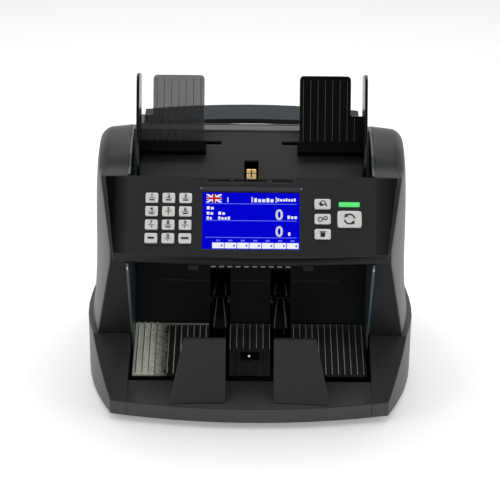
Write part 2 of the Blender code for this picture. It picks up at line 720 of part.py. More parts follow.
def build_keys():
    """Every key, with its origin on the panel's face."""
    for name, (width, height), (x, up) in key_places():
        mesh = box_mesh(name, (-width / 2, -height / 2, KEY_BOTTOM), (width / 2, height / 2, KEY_PROUD))
        key = add_part(name, mesh, "key_plastic", PANEL_PLANE @ Matrix.Translation((x, up, 0)))
        soften = key.modifiers.new("edge", "BEVEL")
        soften.width = KEY_ROUND
        soften.segments = 1


def build_hopper():
    """The inclined hopper plate with its flat ledge, its guide slots and the magnetic head in its hole."""
    half = FRAME_INNER - GAP
    slot_middle = (HOPPER_SLOT_INNER + HOPPER_SLOT_OUTER) / 2
    slot_size = (HOPPER_SLOT_OUTER - HOPPER_SLOT_INNER, HOPPER_SLOT_WIDTH)
    hole_middle = SENSOR_HOLE_UP + SENSOR_HOLE_LENGTH / 2
    loops = [
        [(-half, 0), (half, 0), (half, HOPPER_LENGTH), (-half, HOPPER_LENGTH)],
        rectangle((slot_middle, HOPPER_SLOT_UP), slot_size),
        rectangle((-slot_middle, HOPPER_SLOT_UP), slot_size),
        rectangle((0, hole_middle), (SENSOR_HOLE_WIDTH, SENSOR_HOLE_LENGTH)),
    ]
    mesh = outline_mesh("hopper_plate", loops, -HOPPER_THICKNESS, 0)
    plate = add_part("hopper_plate", mesh, "body_plastic", HOPPER_PLANE)
    edge = HOPPER_PLANE @ Vector((0, HOPPER_LENGTH, 0))
    ledge = box_mesh(
        "hopper_ledge",
        (-half, edge.y - HOPPER_THICKNESS / 2, edge.z - HOPPER_THICKNESS),
        (half, edge.y + HOPPER_LEDGE, edge.z),
    )
    combine(plate, add_helper("hopper_ledge", ledge), "UNION")
    low = SENSOR_HOLE_UP + GAP
    head = box_mesh(
        "magnetic_head",
        (-HEAD_WIDTH / 2, low, HEAD_PROUD - HEAD_DEPTH),
        (HEAD_WIDTH / 2, low + HEAD_LENGTH, HEAD_PROUD),
    )
    add_part("magnetic_head", head, "brass", HOPPER_PLANE)


def comb(width, thickness, count, rib_width, rib_height):
    """Section of a ribbed plate: a flat underside and evenly spaced square ribs on top."""
    pitch = width / count
    points = [(width / 2, 0), (-width / 2, 0), (-width / 2, thickness)]
    for k in range(count):
        middle = -width / 2 + (k + 0.5) * pitch
        left, right = middle - rib_width / 2, middle + rib_width / 2
        crest = thickness + rib_height
        points += [(left, thickness), (left, crest), (right, crest), (right, thickness)]
    return points + [(width / 2, thickness)]


def build_guide(name, side):
    """One note guide: a ribbed back plate, a fin along the hopper's side and a foot, side is -1 or 1."""
    seat = HOPPER_PLANE @ Vector((0, GUIDE_UP, GUIDE_CLEARANCE))
    stand = sloped(seat.y, seat.z, math.pi / 2 - GUIDE_TILT)
    lean = math.pi / 2 - GUIDE_TILT - HOPPER_SLOPE
    back = GUIDE_THICKNESS / math.tan(lean) + GUIDE_FOOT_HEIGHT / 2
    width = GUIDE_PLATE_OUTER - GUIDE_PLATE_INNER
    middle = side * (GUIDE_PLATE_INNER + GUIDE_PLATE_OUTER) / 2
    section = comb(width, GUIDE_THICKNESS, GUIDE_RIB_COUNT, GUIDE_RIB_HEIGHT, GUIDE_RIB_HEIGHT)
    upright = stand @ Matrix.Translation((middle, 0, 0)) @ Matrix.Rotation(math.pi / 2, 4, "X")
    upright = upright @ Matrix.Scale(-1, 4, (0, 0, 1))
    mesh = outline_mesh(name, [section], back, GUIDE_HEIGHT)
    bake(mesh, upright)
    guide = add_part(name, mesh, "smoke_plastic" if side < 0 else "black_plastic")

    inner, outer = GUIDE_PLATE_OUTER - 2 * GUIDE_THICKNESS, GUIDE_OUTER - GUIDE_FIN_THICKNESS / 2
    low_x, high_x = sorted((side * inner, side * outer))
    skin = GUIDE_THICKNESS / 10
    corner = box_mesh(
        f"{name}_corner", (low_x, back + skin, skin), (high_x, GUIDE_JOIN_HEIGHT, GUIDE_THICKNESS - skin)
    )
    combine(guide, add_helper(f"{name}_corner", corner, stand), "UNION")

    foot_inner = GUIDE_PLATE_INNER - GUIDE_FOOT_OVERHANG
    foot_low, foot_high = sorted((side * foot_inner, side * (GUIDE_OUTER - GUIDE_FIN_THICKNESS / 3)))
    foot = box_mesh(
        f"{name}_foot",
        (foot_low, GUIDE_UP - GUIDE_FOOT_DEPTH / 2, GUIDE_CLEARANCE),
        (foot_high, GUIDE_UP + GUIDE_FOOT_DEPTH, GUIDE_CLEARANCE + GUIDE_FOOT_HEIGHT),
    )
    combine(guide, add_helper(f"{name}_foot", foot, HOPPER_PLANE), "UNION")

    along = Vector((math.cos(HOPPER_SLOPE), math.sin(HOPPER_SLOPE)))
    upward = Vector((math.sin(GUIDE_TILT), math.cos(GUIDE_TILT)))
    foot_at = Vector((seat.y, seat.z))
    forward = Vector((-upward.y, upward.x))
    tip = foot_at + upward * (GUIDE_HEIGHT + GUIDE_RIB_HEIGHT)
    fin = [
        foot_at - along * (GUIDE_UP - GUIDE_FOOT_HEIGHT / 2),
        foot_at + along * GUIDE_FOOT_DEPTH,
        foot_at + along * GUIDE_FOOT_DEPTH + upward * GUIDE_FOOT_HEIGHT,
        tip - forward * GUIDE_THICKNESS / 4,
        tip + forward * GUIDE_FIN_DEPTH,
        foot_at + forward * GUIDE_FIN_DEPTH + upward * GUIDE_FOOT_HEIGHT,
        foot_at - along * (GUIDE_UP - GUIDE_FOOT_HEIGHT / 2) + forward * GUIDE_FOOT_DEPTH,
    ]
    faces = sorted((side * (GUIDE_OUTER - GUIDE_FIN_THICKNESS), side * GUIDE_OUTER))
    fin_mesh = outline_mesh(f"{name}_fin", [[tuple(p) for p in fin]], *faces)
    combine(guide, add_helper(f"{name}_fin", fin_mesh, YZ_PLANE), "UNION")


def bake(mesh, place):
    """Moves a mesh's points by a matrix and turns its faces outwards again."""
    mesh.transform(place)
    shape = bmesh.new()
    shape.from_mesh(mesh)
    bmesh.ops.recalc_face_normals(shape, faces=shape.faces)
    shape.to_mesh(mesh)
    shape.free()


def build_tray():
    """The stacker pocket's ribbed floor plates, its slotted back plate, its lens and its ceiling."""
    side_width = TRAY_OUTER - TRAY_INNER
    side_middle = (TRAY_OUTER + TRAY_INNER) / 2
    plates = (
        ("tray_left_plate", -side_middle, side_width, TRAY_SIDE_RIBS),
        ("tray_right_plate", side_middle, side_width, TRAY_SIDE_RIBS),
        ("tray_centre_plate", 0, 2 * TRAY_CENTRE_HALF_WIDTH, TRAY_CENTRE_RIBS),
    )
    for name, x, width, ribs in plates:
        section = comb(width, TRAY_THICKNESS, ribs, TRAY_RIB_WIDTH, TRAY_RIB_HEIGHT)
        mesh = outline_mesh(name, [section], 0, TRAY_LENGTH)
        turn = Matrix.Rotation(math.pi / 2, 4, "X") @ Matrix.Scale(-1, 4, (0, 0, 1))
        bake(mesh, TRAY_PLANE @ Matrix.Translation((x, 0, -TRAY_THICKNESS)) @ turn)
        add_part(name, mesh, "tray_plastic")

    slot_low, slot_high = TRAY_CENTRE_HALF_WIDTH + GAP, TRAY_INNER - GAP
    slot_top = TRAY_BACK_LENGTH - TRAY_BACK_BRIDGE
    right = [(slot_low, 0), (slot_low, slot_top), (slot_high, slot_top), (slot_high, 0), (TRAY_OUTER, 0)]
    left = [(-x, y) for x, y in reversed(right)]
    outline = left + right + [(TRAY_OUTER, TRAY_BACK_LENGTH), (-TRAY_OUTER, TRAY_BACK_LENGTH)]
    foot = Vector((0, TRAY_BEND_Y + 2 * GAP, TRAY_BEND_Z + 2 * GAP))
    back_plane = sloped(foot.y, foot.z, TRAY_BACK_SLOPE)
    back = outline_mesh("tray_back_plate", [outline], -TRAY_THICKNESS, 0)
    add_part("tray_back_plate", back, "tray_plastic", back_plane)

    seat = TRAY_RIB_HEIGHT + GAP
    lens = box_mesh(
        "pocket_sensor",
        (-LENS_WIDTH / 2, LENS_UP - LENS_LENGTH / 2, seat),
        (LENS_WIDTH / 2, LENS_UP + LENS_LENGTH / 2, seat + LENS_THICKNESS),
    )
    add_part("pocket_sensor", lens, "black_plastic", TRAY_PLANE)

    start_y = PANEL_BOTTOM_Y + LIP_BACK + 2 * PANEL_THICKNESS
    start = Vector((start_y, PANEL_BOTTOM_Z - LIP_HEIGHT + PANEL_THICKNESS))
    end = Vector((back_plane @ Vector((0, TRAY_BACK_LENGTH, 0))).yz) + Vector((-2, 3)) * TRAY_THICKNESS
    middle = start.lerp(end, EXIT_GUIDE_KNEE) + Vector((-1, -1)) * TRAY_THICKNESS
    half = FRAME_INNER - GAP
    grid = [[(x, *point) for x in (-half, half)] for point in (start, middle, end)]
    ceiling = add_part("exit_guide", sheet_mesh("exit_guide", grid), "tray_plastic")
    thicken(ceiling, EXIT_GUIDE_THICKNESS)


def ledge_z(x, y):
    """Height of the sloping front ledge at a place."""
    share = (y - front_y(x)) / (LEDGE_BACK_Y - front_y(x))
    return BAND_TOP + (LEDGE_TOP - BAND_TOP) * share


def build_stoppers():
    """Two tapered front plates that keep the notes in the pocket, seated along the sloping ledge."""
    for name, side in (("left_stopper", -1), ("right_stopper", 1)):
        rings = []
        for low, outer in ((True, STOPPER_OUTER_BOTTOM), (False, STOPPER_OUTER_TOP)):
            foot_y = -HALF_DEPTH + STOPPER_SET_BACK
            front_face = foot_y if low else foot_y + STOPPER_LEAN
            across = np.linspace(STOPPER_INNER, outer, STOPPER_STEPS)
            ring = []
            for xs, y in ((across, front_face), (across[::-1], front_face + STOPPER_THICKNESS)):
                ring += [(side * x, y, ledge_z(x, y) + GAP if low else STOPPER_TOP) for x in xs]
            rings.append(ring)
        add_part(name, loft_mesh(name, rings), "panel_plastic")


def shaft_profile(steps):
    """Turned profile from (low X, high X, radius) steps along X, closed on the axis at both ends."""
    points = [(0, steps[-1][1])]
    for low, high, radius in reversed(steps):
        points += [(radius, high), (radius, low)]
    return points + [(0, steps[0][0])]


def shaft(name, place, pulleys):
    """A steel shaft between the frames, stepped up to each of its pulleys in the left bay."""
    end = FRAME_OUTER + SHAFT_END
    low = min(x for x, _ in pulleys) - BELT_WIDTH
    steps = []
    at = low
    for x, radius in sorted(pulleys):
        face = x - BELT_WIDTH / 2
        steps += [(at, face, SHAFT_RADIUS), (face, x + BELT_WIDTH / 2, radius)]
        at = x + BELT_WIDTH / 2
    steps.append((at, end, SHAFT_RADIUS))
    turned(name, shaft_profile(steps), "steel", along_x(place))


def ring_profile(bore, radius, low, high):
    """Closed turned profile of a sleeve."""
    return [(bore, high), (radius, high), (radius, low), (bore, low), (bore, high)]


def belt_loop(pulleys, offset):
    """Points of a belt: the outline of the pulleys' hull, found as the furthest point in each direction."""
    points = []
    for turn in np.linspace(0, math.tau, 3 * ROUND_STEPS, endpoint=False):
        way = Vector((math.cos(turn), math.sin(turn)))
        centre, radius = max(pulleys, key=lambda p: way.dot(Vector(p[0])) + p[1])
        points.append(tuple(Vector(centre) + way * (radius + offset)))
    return points


def build_belt(name, x, pulleys):
    """A flat belt round its pulleys."""
    inner = belt_loop(pulleys, BELT_CLEARANCE)
    outer = belt_loop(pulleys, BELT_CLEARANCE + BELT_THICKNESS)
    mesh = outline_mesh(name, [outer, inner], x - BELT_WIDTH / 2, x + BELT_WIDTH / 2)
    add_part(name, mesh, "rubber", YZ_PLANE)


def wheel_outline():
    """Outline of a stacker wheel: fingers that sweep back from the hub."""
    points = []
    for k in range(WHEEL_FINGERS):
        start = math.tau * k / WHEEL_FINGERS
        outer_edge, inner_edge = [], []
        for share in WHEEL_SHARES:
            radius = WHEEL_HUB_RADIUS + (WHEEL_RADIUS - WHEEL_HUB_RADIUS) * share
            turn = start + WHEEL_SWEEP * share
            half = WHEEL_FINGER_THICKNESS / 2 / radius * (WHEEL_ROOT - WHEEL_TAPER * share)
            outer_edge.append((radius * math.cos(turn - half), radius * math.sin(turn - half)))
            inner_edge.append((radius * math.cos(turn + half), radius * math.sin(turn + half)))
        points += outer_edge + inner_edge[::-1]
    return points


def build_drive():
    """Shafts, rollers, stacker wheels, motor, pulley and belts."""
    shaft("pickup_shaft", PICKUP_AT, [(PICKUP_BELT_X, PICKUP_PULLEY_RADIUS)])
    shaft("feed_shaft", FEED_AT, [(DRIVE_BELT_X, FEED_PULLEY_RADIUS), (PICKUP_BELT_X, PICKUP_PULLEY_RADIUS)])
    shaft("stacker_shaft", STACKER_AT, [(DRIVE_BELT_X, STACKER_PULLEY_RADIUS)])
    bore = SHAFT_RADIUS + GAP
    for side, x in (("left", -PICKUP_ROLLER_X), ("right", PICKUP_ROLLER_X)):
        half = PICKUP_ROLLER_WIDTH / 2
        profile = ring_profile(bore, PICKUP_ROLLER_RADIUS, x - half, x + half)
        turned(f"pickup_roller_{side}", profile, "rubber", along_x(PICKUP_AT))
    half = FEED_ROLLER_WIDTH / 2
    turned("feed_roller", ring_profile(bore, FEED_ROLLER_RADIUS, -half, half), "rubber", along_x(FEED_AT))
    for side, x in (("left", -WHEEL_X), ("right", WHEEL_X)):
        name = f"stacker_wheel_{side}"
        loops = [wheel_outline(), circle((0, 0), bore)]
        mesh = outline_mesh(name, loops, x - WHEEL_WIDTH / 2, x + WHEEL_WIDTH / 2)
        add_part(name, mesh, "black_plastic", along_x(STACKER_AT))

    face = -FRAME_INNER + GAP
    tip = DRIVE_BELT_X - BELT_WIDTH
    steps = [(tip, face, MOTOR_SHAFT_RADIUS), (face, face + MOTOR_LENGTH, MOTOR_RADIUS)]
    turned("main_motor", shaft_profile(steps), "steel", along_x(MOTOR_AT))
    low, high = DRIVE_BELT_X - BELT_WIDTH / 2, DRIVE_BELT_X + BELT_WIDTH / 2
    ring = ring_profile(MOTOR_SHAFT_RADIUS + GAP, MOTOR_PULLEY_RADIUS, low, high)
    turned("motor_pulley", ring, "steel", along_x(MOTOR_AT))
    drive = [
        (MOTOR_AT, MOTOR_PULLEY_RADIUS),
        (FEED_AT, FEED_PULLEY_RADIUS),
        (STACKER_AT, STACKER_PULLEY_RADIUS),
    ]
    build_belt("drive_belt", DRIVE_BELT_X, drive)
    pickup = [(FEED_AT, PICKUP_PULLEY_RADIUS), (PICKUP_AT, PICKUP_PULLEY_RADIUS)]
    build_belt("pickup_belt", PICKUP_BELT_X, pickup)


def build_electrics():
    """Power supply on the floor, main board on the right frame."""
    floor = TUB_BOTTOM + TUB_FLOOR + GAP
    width, depth, height = SUPPLY_SIZE
    x, y = FRAME_INNER - SUPPLY_FROM_FRAME - width / 2, HALF_DEPTH - SUPPLY_FROM_REAR - depth / 2
    supply = box_mesh(
        "power_supply", (x - width / 2, y - depth / 2, floor), (x + width / 2, y + depth / 2, floor + height)
    )
    add_part("power_supply", supply, "steel")
    y, z = MAIN_BOARD_AT
    high = FRAME_INNER - GAP
    board = box_mesh(
        "main_board",
        (high - BOARD_THICKNESS, y - MAIN_BOARD_LENGTH / 2, z - MAIN_BOARD_HEIGHT / 2),
        (high, y + MAIN_BOARD_LENGTH / 2, z + MAIN_BOARD_HEIGHT / 2),
    )
    add_part("main_board", board, "board_green")


def rear_path():
    """Side profile of the rear cover, from behind the hopper ledge down to the tub."""
    rear = HALF_DEPTH - 4 * GAP
    return [
        (REAR_EDGE_Y, REAR_LIP_Z),
        (REAR_EDGE_Y, REAR_EDGE_Z),
        (REAR_CREST_Y, REAR_CREST_Z),
        (REAR_SHOULDER_Y, REAR_SHOULDER_Z),
        (rear - REAR_DRAFT, REAR_KNEE_Z),
        (rear, TUB_TOP + GAP),
    ]


def build_rear():
    """Rear cover with its inlet and its power switch."""
    half = FRAME_INNER - GAP
    grid = [[(x, y, z) for x in (-half, half)] for y, z in rear_path()]
    cover = add_part("rear_cover", sheet_mesh("rear_cover", grid), "body_plastic")
    thicken(cover, WALL)
    rear = HALF_DEPTH
    width, height, depth = INLET_SIZE
    hole = box_mesh(
        "inlet_hole",
        (INLET_X - width / 2 - GAP, rear - depth, SOCKET_Z - height / 2 - GAP),
        (INLET_X + width / 2 + GAP, rear + depth, SOCKET_Z + height / 2 + GAP),
    )
    combine(cover, add_helper("inlet_hole", hole), "DIFFERENCE")
    inlet = add_part(
        "inlet_socket",
        box_mesh(
            "inlet_socket",
            (INLET_X - width / 2, rear - depth, SOCKET_Z - height / 2),
            (INLET_X + width / 2, rear, SOCKET_Z + height / 2),
        ),
        "black_plastic",
    )
    socket = box_mesh(
        "socket_hollow",
        (INLET_X - width / 2 + INLET_WALL, rear - depth + INLET_WALL, SOCKET_Z - height / 2 + INLET_WALL),
        (INLET_X + width / 2 - INLET_WALL, rear + depth, SOCKET_Z + height / 2 - INLET_WALL),
    )
    combine(inlet, add_helper("socket_hollow", socket), "DIFFERENCE")

    width, height, depth = SWITCH_SIZE
    clear = SWITCH_CLEARANCE
    hole = box_mesh(
        "switch_hole",
        (SWITCH_X - width / 2 - GAP, rear - 2 * depth, SOCKET_Z - height / 2 - clear),
        (SWITCH_X + width / 2 + GAP, rear + depth, SOCKET_Z + height / 2 + clear),
    )
    combine(cover, add_helper("switch_hole", hole), "DIFFERENCE")
    corner = Vector((width, depth, height)) / 2
    rocker = box_mesh("power_switch", -corner, corner)
    place = Matrix.Translation((SWITCH_X, rear - depth / 2 - 3 * GAP, SOCKET_Z))
    add_part("power_switch", rocker, "black_plastic", place @ Matrix.Rotation(-SWITCH_TILT, 4, "X"))


def build_handle():
    """The carry handle: a bowed bail lying back on the rear cover, turning on two pins in the frames."""
    outer, inner = HANDLE_HALF_WIDTH, HANDLE_HALF_WIDTH - HANDLE_LEG
    across = np.linspace(-1, 1, 2 * ARC_STEPS + 1)
    rear = [(t * outer, HANDLE_REACH - HANDLE_BOW * t * t) for t in across]
    front = [(t * inner, HANDLE_REACH - HANDLE_GRIP - HANDLE_BOW * t * t / 2) for t in across]
    start = -HANDLE_BOSS_RADIUS
    outline = [(-outer, start), *rear, (outer, start), (inner, start), *reversed(front), (-inner, start)]
    half = HANDLE_THICKNESS / 2
    mesh = outline_mesh("carry_handle", [outline[::-1]], -half, half)
    handle = add_part("carry_handle", mesh, "smoke_plastic", sloped(*HANDLE_PIVOT, HANDLE_TILT))
    for name, side in (("left_pin", -1), ("right_pin", 1)):
        low, high = sorted((side * (outer - HANDLE_LEG / 2), side * (FRAME_OUTER - GAP)))
        pin = cylinder_mesh(name, HANDLE_PIN_RADIUS, low, high)
        combine(handle, add_helper(name, pin, along_x(HANDLE_PIVOT)), "UNION")


def build():
    """Builds every piece."""
    build_tub()
    build_feet()
    for side_name, side in (("left", -1), ("right", 1)):
        build_side_cover(f"{side_name}_side_cover", side)
        build_frame(f"{side_name}_frame", side)
        build_guide(f"{side_name}_guide", side)
    build_panel()
    build_keys()
    build_hopper()
    build_tray()
    build_stoppers()
    build_drive()
    build_electrics()
    build_rear()
    build_handle()


build()
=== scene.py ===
"""Banknote counting machine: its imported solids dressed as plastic, lit screen, brass, steel and rubber.

Everything is in metres in the part's own frame: +X right as seen from the front, +Y to the rear, +Z up.
"""

from __future__ import annotations

import json
import logging
import math
from collections.abc import Callable
from dataclasses import dataclass
from enum import Enum

import bmesh
import bpy
import numpy as np
from mathutils import Matrix, Vector
from mathutils.bvhtree import BVHTree

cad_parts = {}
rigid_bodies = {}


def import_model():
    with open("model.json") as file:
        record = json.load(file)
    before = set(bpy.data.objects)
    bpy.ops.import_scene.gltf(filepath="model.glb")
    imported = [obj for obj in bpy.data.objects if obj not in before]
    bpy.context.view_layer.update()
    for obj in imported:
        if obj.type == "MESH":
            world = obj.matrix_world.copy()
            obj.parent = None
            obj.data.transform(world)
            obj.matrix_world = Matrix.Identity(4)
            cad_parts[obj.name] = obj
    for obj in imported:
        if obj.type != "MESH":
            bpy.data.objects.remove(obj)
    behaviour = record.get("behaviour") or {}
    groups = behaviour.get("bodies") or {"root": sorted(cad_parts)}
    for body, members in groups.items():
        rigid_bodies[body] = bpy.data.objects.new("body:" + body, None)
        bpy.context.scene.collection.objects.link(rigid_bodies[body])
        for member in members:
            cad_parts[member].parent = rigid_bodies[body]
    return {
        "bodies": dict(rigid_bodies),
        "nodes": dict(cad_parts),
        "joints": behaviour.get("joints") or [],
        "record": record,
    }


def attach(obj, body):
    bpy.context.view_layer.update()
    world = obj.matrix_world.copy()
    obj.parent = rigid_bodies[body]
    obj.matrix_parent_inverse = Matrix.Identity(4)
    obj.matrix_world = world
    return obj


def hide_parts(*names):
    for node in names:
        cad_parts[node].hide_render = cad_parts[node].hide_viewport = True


LOG = logging.getLogger("banknote_counter")
MM = 0.001
MERGE = 0.002 * MM
SOLID_MERGE = 0.01 * MM
PRINT_MERGE = 0.001 * MM
FLAT_DEGREES = 2
EDGE_DEGREES = 35
SOLID_DEGREES = 40
ROUND_DEGREES = 50
COVER_DEGREES = 28
RING_STEPS = 33
CAPITAL_SHARE = 0.7


class Body(str, Enum):
    """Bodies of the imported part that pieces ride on."""

    BODY = "body"
    LEFT_GUIDE = "left_guide"
    RIGHT_GUIDE = "right_guide"
    HANDLE = "carry_handle"
    SWITCH = "power_switch"
    STACKER = "stacker"


def linear(colour: str) -> tuple[float, float, float, float]:
    """Turns an sRGB hex colour to linear RGBA.

    Args:
        colour: six hex digits after a hash sign.

    Returns:
        Linear red, green, blue and an alpha of one.
    """
    parts = np.array([int(colour[k : k + 2], 16) for k in (1, 3, 5)]) / 255
    values = np.where(parts <= 0.04045, parts / 12.92, ((parts + 0.055) / 1.055) ** 2.4)
    return (*values.tolist(), 1.0)


def add_node(tree: bpy.types.NodeTree, kind: str, settings: dict, links: dict) -> bpy.types.Node:
    """Adds one shader node.

    Args:
        tree: the material's node tree.
        kind: the node's type name.
        settings: attribute names or input names to their values.
        links: input names to the output sockets that feed them.

    Returns:
        The new node.
    """
    node = tree.nodes.new(kind)
    for key, value in settings.items():
        if hasattr(node, key):
            setattr(node, key, value)
        else:
            node.inputs[key].default_value = value
    for key, socket in links.items():
        tree.links.new(socket, node.inputs[key])
    return node


def shader_of(name: str) -> tuple[bpy.types.Material, bpy.types.Node]:
    """Makes an empty Principled material.

    Args:
        name: the material's name.

    Returns:
        The material and its Principled node.
    """
    material = bpy.data.materials.new(name)
    material.use_nodes = True
    return material, material.node_tree.nodes["Principled BSDF"]


# A grain of about 0.1 mm, as on the real moulding, and the hair lines of real metal are too fine to
# show in the render, so both are drawn several times coarser.
DRIFT_MM = 70
DRIFT_STOPS = (0.3, 0.7)
GRAIN_SWING = (-0.05, 0.07)
GRAIN_HEIGHT_MM = 0.1
WAVE_MM = 18
WAVE_HEIGHT_MM = 0.3
WAVE_STRENGTH = 0.06
LINE_STRETCH = (0.05, 1.0, 1.0)
LINE_SWING = 0.08
UNLIT = "#020203"
LENS_ROUGHNESS = 0.3
LENS_GLOSS = 0.03
PLAIN_GLOSS = 0.5
NOISE_MIDDLE = 0.5


@dataclass(frozen=True)
class MouldedPlastic:
    """Moulded plastic, rubber or a coat: a fine grain breaks its highlights and its colour drifts."""

    name: str
    dark: str
    light: str
    roughness: float
    grain_mm: float = 0.9
    grain_depth: float = 0.12
    ior: float = 1.53

    def material(self) -> bpy.types.Material:
        """Builds the material: drift in the colour, grain in the roughness and in the surface.

        Returns:
            The finished material.
        """
        material, shader = shader_of(self.name)
        tree = material.node_tree
        where = add_node(tree, "ShaderNodeTexCoord", {}, {}).outputs["Object"]
        broad = {"Scale": 1 / (DRIFT_MM * MM), "Detail": 3.0}
        drift = add_node(tree, "ShaderNodeTexNoise", broad, {"Vector": where})
        ramp = add_node(tree, "ShaderNodeValToRGB", {}, {"Fac": drift.outputs["Fac"]})
        for stop, place, colour in zip(ramp.color_ramp.elements, DRIFT_STOPS, (self.dark, self.light)):
            stop.position = place
            stop.color = linear(colour)
        tree.links.new(ramp.outputs["Color"], shader.inputs["Base Color"])
        fine = {"Scale": 1 / (self.grain_mm * MM), "Detail": 2.0}
        grain = add_node(tree, "ShaderNodeTexNoise", fine, {"Vector": where})
        rough = add_node(
            tree,
            "ShaderNodeMapRange",
            {"To Min": self.roughness + GRAIN_SWING[0], "To Max": self.roughness + GRAIN_SWING[1]},
            {"Value": grain.outputs["Fac"]},
        )
        tree.links.new(rough.outputs["Result"], shader.inputs["Roughness"])
        bump = add_node(
            tree,
            "ShaderNodeBump",
            {"Strength": self.grain_depth, "Distance": GRAIN_HEIGHT_MM * MM},
            {"Height": grain.outputs["Fac"]},
        )
        tree.links.new(bump.outputs["Normal"], shader.inputs["Normal"])
        shader.inputs["IOR"].default_value = self.ior
        return material


@dataclass(frozen=True)
class SmokeAcrylic:
    """Clear acrylic tinted grey: light passes, edges look dark, faint moulding waves bend highlights."""

    name: str
    tint: str
    roughness: float
    clear: float
    ior: float = 1.49

    def material(self) -> bpy.types.Material:
        """Builds the tinted clear material.

        Returns:
            The finished material.
        """
        material, shader = shader_of(self.name)
        tree = material.node_tree
        where = add_node(tree, "ShaderNodeTexCoord", {}, {}).outputs["Object"]
        broad = {"Scale": 1 / (WAVE_MM * MM), "Detail": 1.0}
        waves = add_node(tree, "ShaderNodeTexNoise", broad, {"Vector": where})
        swell = {"Strength": WAVE_STRENGTH, "Distance": WAVE_HEIGHT_MM * MM}
        bump = add_node(tree, "ShaderNodeBump", swell, {"Height": waves.outputs["Fac"]})
        tree.links.new(bump.outputs["Normal"], shader.inputs["Normal"])
        shader.inputs["Base Color"].default_value = linear(self.tint)
        shader.inputs["Roughness"].default_value = self.roughness
        shader.inputs["Transmission Weight"].default_value = self.clear
        shader.inputs["IOR"].default_value = self.ior
        return material


@dataclass(frozen=True)
class Metal:
    """Drawn or rolled metal: fine lines along X from its making stretch the highlights."""

    name: str
    colour: str
    roughness: float
    line_mm: float = 0.5
    glow: float = 0.0

    def material(self) -> bpy.types.Material:
        """Builds the brushed metal.

        Returns:
            The finished material.
        """
        material, shader = shader_of(self.name)
        tree = material.node_tree
        where = add_node(tree, "ShaderNodeTexCoord", {}, {}).outputs["Object"]
        stretched = add_node(tree, "ShaderNodeMapping", {"Scale": LINE_STRETCH}, {"Vector": where})
        fine = {"Scale": 1 / (self.line_mm * MM), "Detail": 2.0}
        lines = add_node(tree, "ShaderNodeTexNoise", fine, {"Vector": stretched.outputs["Vector"]})
        rough = add_node(
            tree,
            "ShaderNodeMapRange",
            {"To Min": self.roughness - LINE_SWING, "To Max": self.roughness + LINE_SWING},
            {"Value": lines.outputs["Fac"]},
        )
        tree.links.new(rough.outputs["Result"], shader.inputs["Roughness"])
        for socket in ("Base Color", "Emission Color"):
            shader.inputs[socket].default_value = linear(self.colour)
        shader.inputs["Emission Strength"].default_value = self.glow
        shader.inputs["Metallic"].default_value = 1.0
        return material


@dataclass(frozen=True)
class PaintedFade:
    """Painted light on glossy plastic: the colour fades along X from one tone to another, with flecks
    where they meet.
    """

    name: str
    start: str
    end: str
    start_x: float
    end_x: float
    fleck_mm: float = 4.0
    fleck: float = 0.0
    glow: float = 0.0
    roughness: float = 0.26
    end_gloss: float = PLAIN_GLOSS

    def material(self) -> bpy.types.Material:
        """Builds the fade along X and breaks it with flecks.

        Returns:
            The finished material.
        """
        material, shader = shader_of(self.name)
        tree = material.node_tree
        where = add_node(tree, "ShaderNodeTexCoord", {}, {}).outputs["Object"]
        across = add_node(tree, "ShaderNodeSeparateXYZ", {}, {"Vector": where}).outputs["X"]
        span = {"From Min": self.start_x, "From Max": self.end_x}
        fade = add_node(tree, "ShaderNodeMapRange", span, {"Value": across}).outputs["Result"]
        fine = {"Scale": 1 / (self.fleck_mm * MM), "Detail": 1.5}
        flecks = add_node(tree, "ShaderNodeTexNoise", fine, {"Vector": where})
        painted_fade = add_node(tree, "ShaderNodeMath", {"operation": "MULTIPLY_ADD"}, {})
        tree.links.new(flecks.outputs["Fac"], painted_fade.inputs[0])
        painted_fade.inputs[1].default_value = self.fleck
        tree.links.new(fade, painted_fade.inputs[2])
        ramp = add_node(tree, "ShaderNodeValToRGB", {}, {"Fac": painted_fade.outputs["Value"]})
        places = (NOISE_MIDDLE * self.fleck, 1.0)
        for stop, place, colour in zip(ramp.color_ramp.elements, places, (self.start, self.end)):
            stop.position = place
            stop.color = linear(colour)
        tree.links.new(ramp.outputs["Color"], shader.inputs["Base Color"])
        tree.links.new(ramp.outputs["Color"], shader.inputs["Emission Color"])
        shader.inputs["Emission Strength"].default_value = self.glow
        ends = {"To Min": PLAIN_GLOSS, "To Max": self.end_gloss}
        gloss = add_node(tree, "ShaderNodeMapRange", ends, {"Value": painted_fade.outputs["Value"]})
        tree.links.new(gloss.outputs["Result"], shader.inputs["Specular IOR Level"])
        shader.inputs["Roughness"].default_value = self.roughness
        return material


@dataclass(frozen=True)
class Glow:
    """A glowing surface, even over its face and dark when it is off: a backlit display layer, a lamp
    lens, or a painted highlight or glint.
    """

    name: str
    colour: str
    strength: float

    def material(self) -> bpy.types.Material:
        """Builds the lit material.

        Returns:
            The finished material.
        """
        material, shader = shader_of(self.name)
        shader.inputs["Base Color"].default_value = linear(UNLIT)
        shader.inputs["Emission Color"].default_value = linear(self.colour)
        shader.inputs["Emission Strength"].default_value = self.strength
        shader.inputs["Roughness"].default_value = LENS_ROUGHNESS
        shader.inputs["Specular IOR Level"].default_value = LENS_GLOSS
        return material
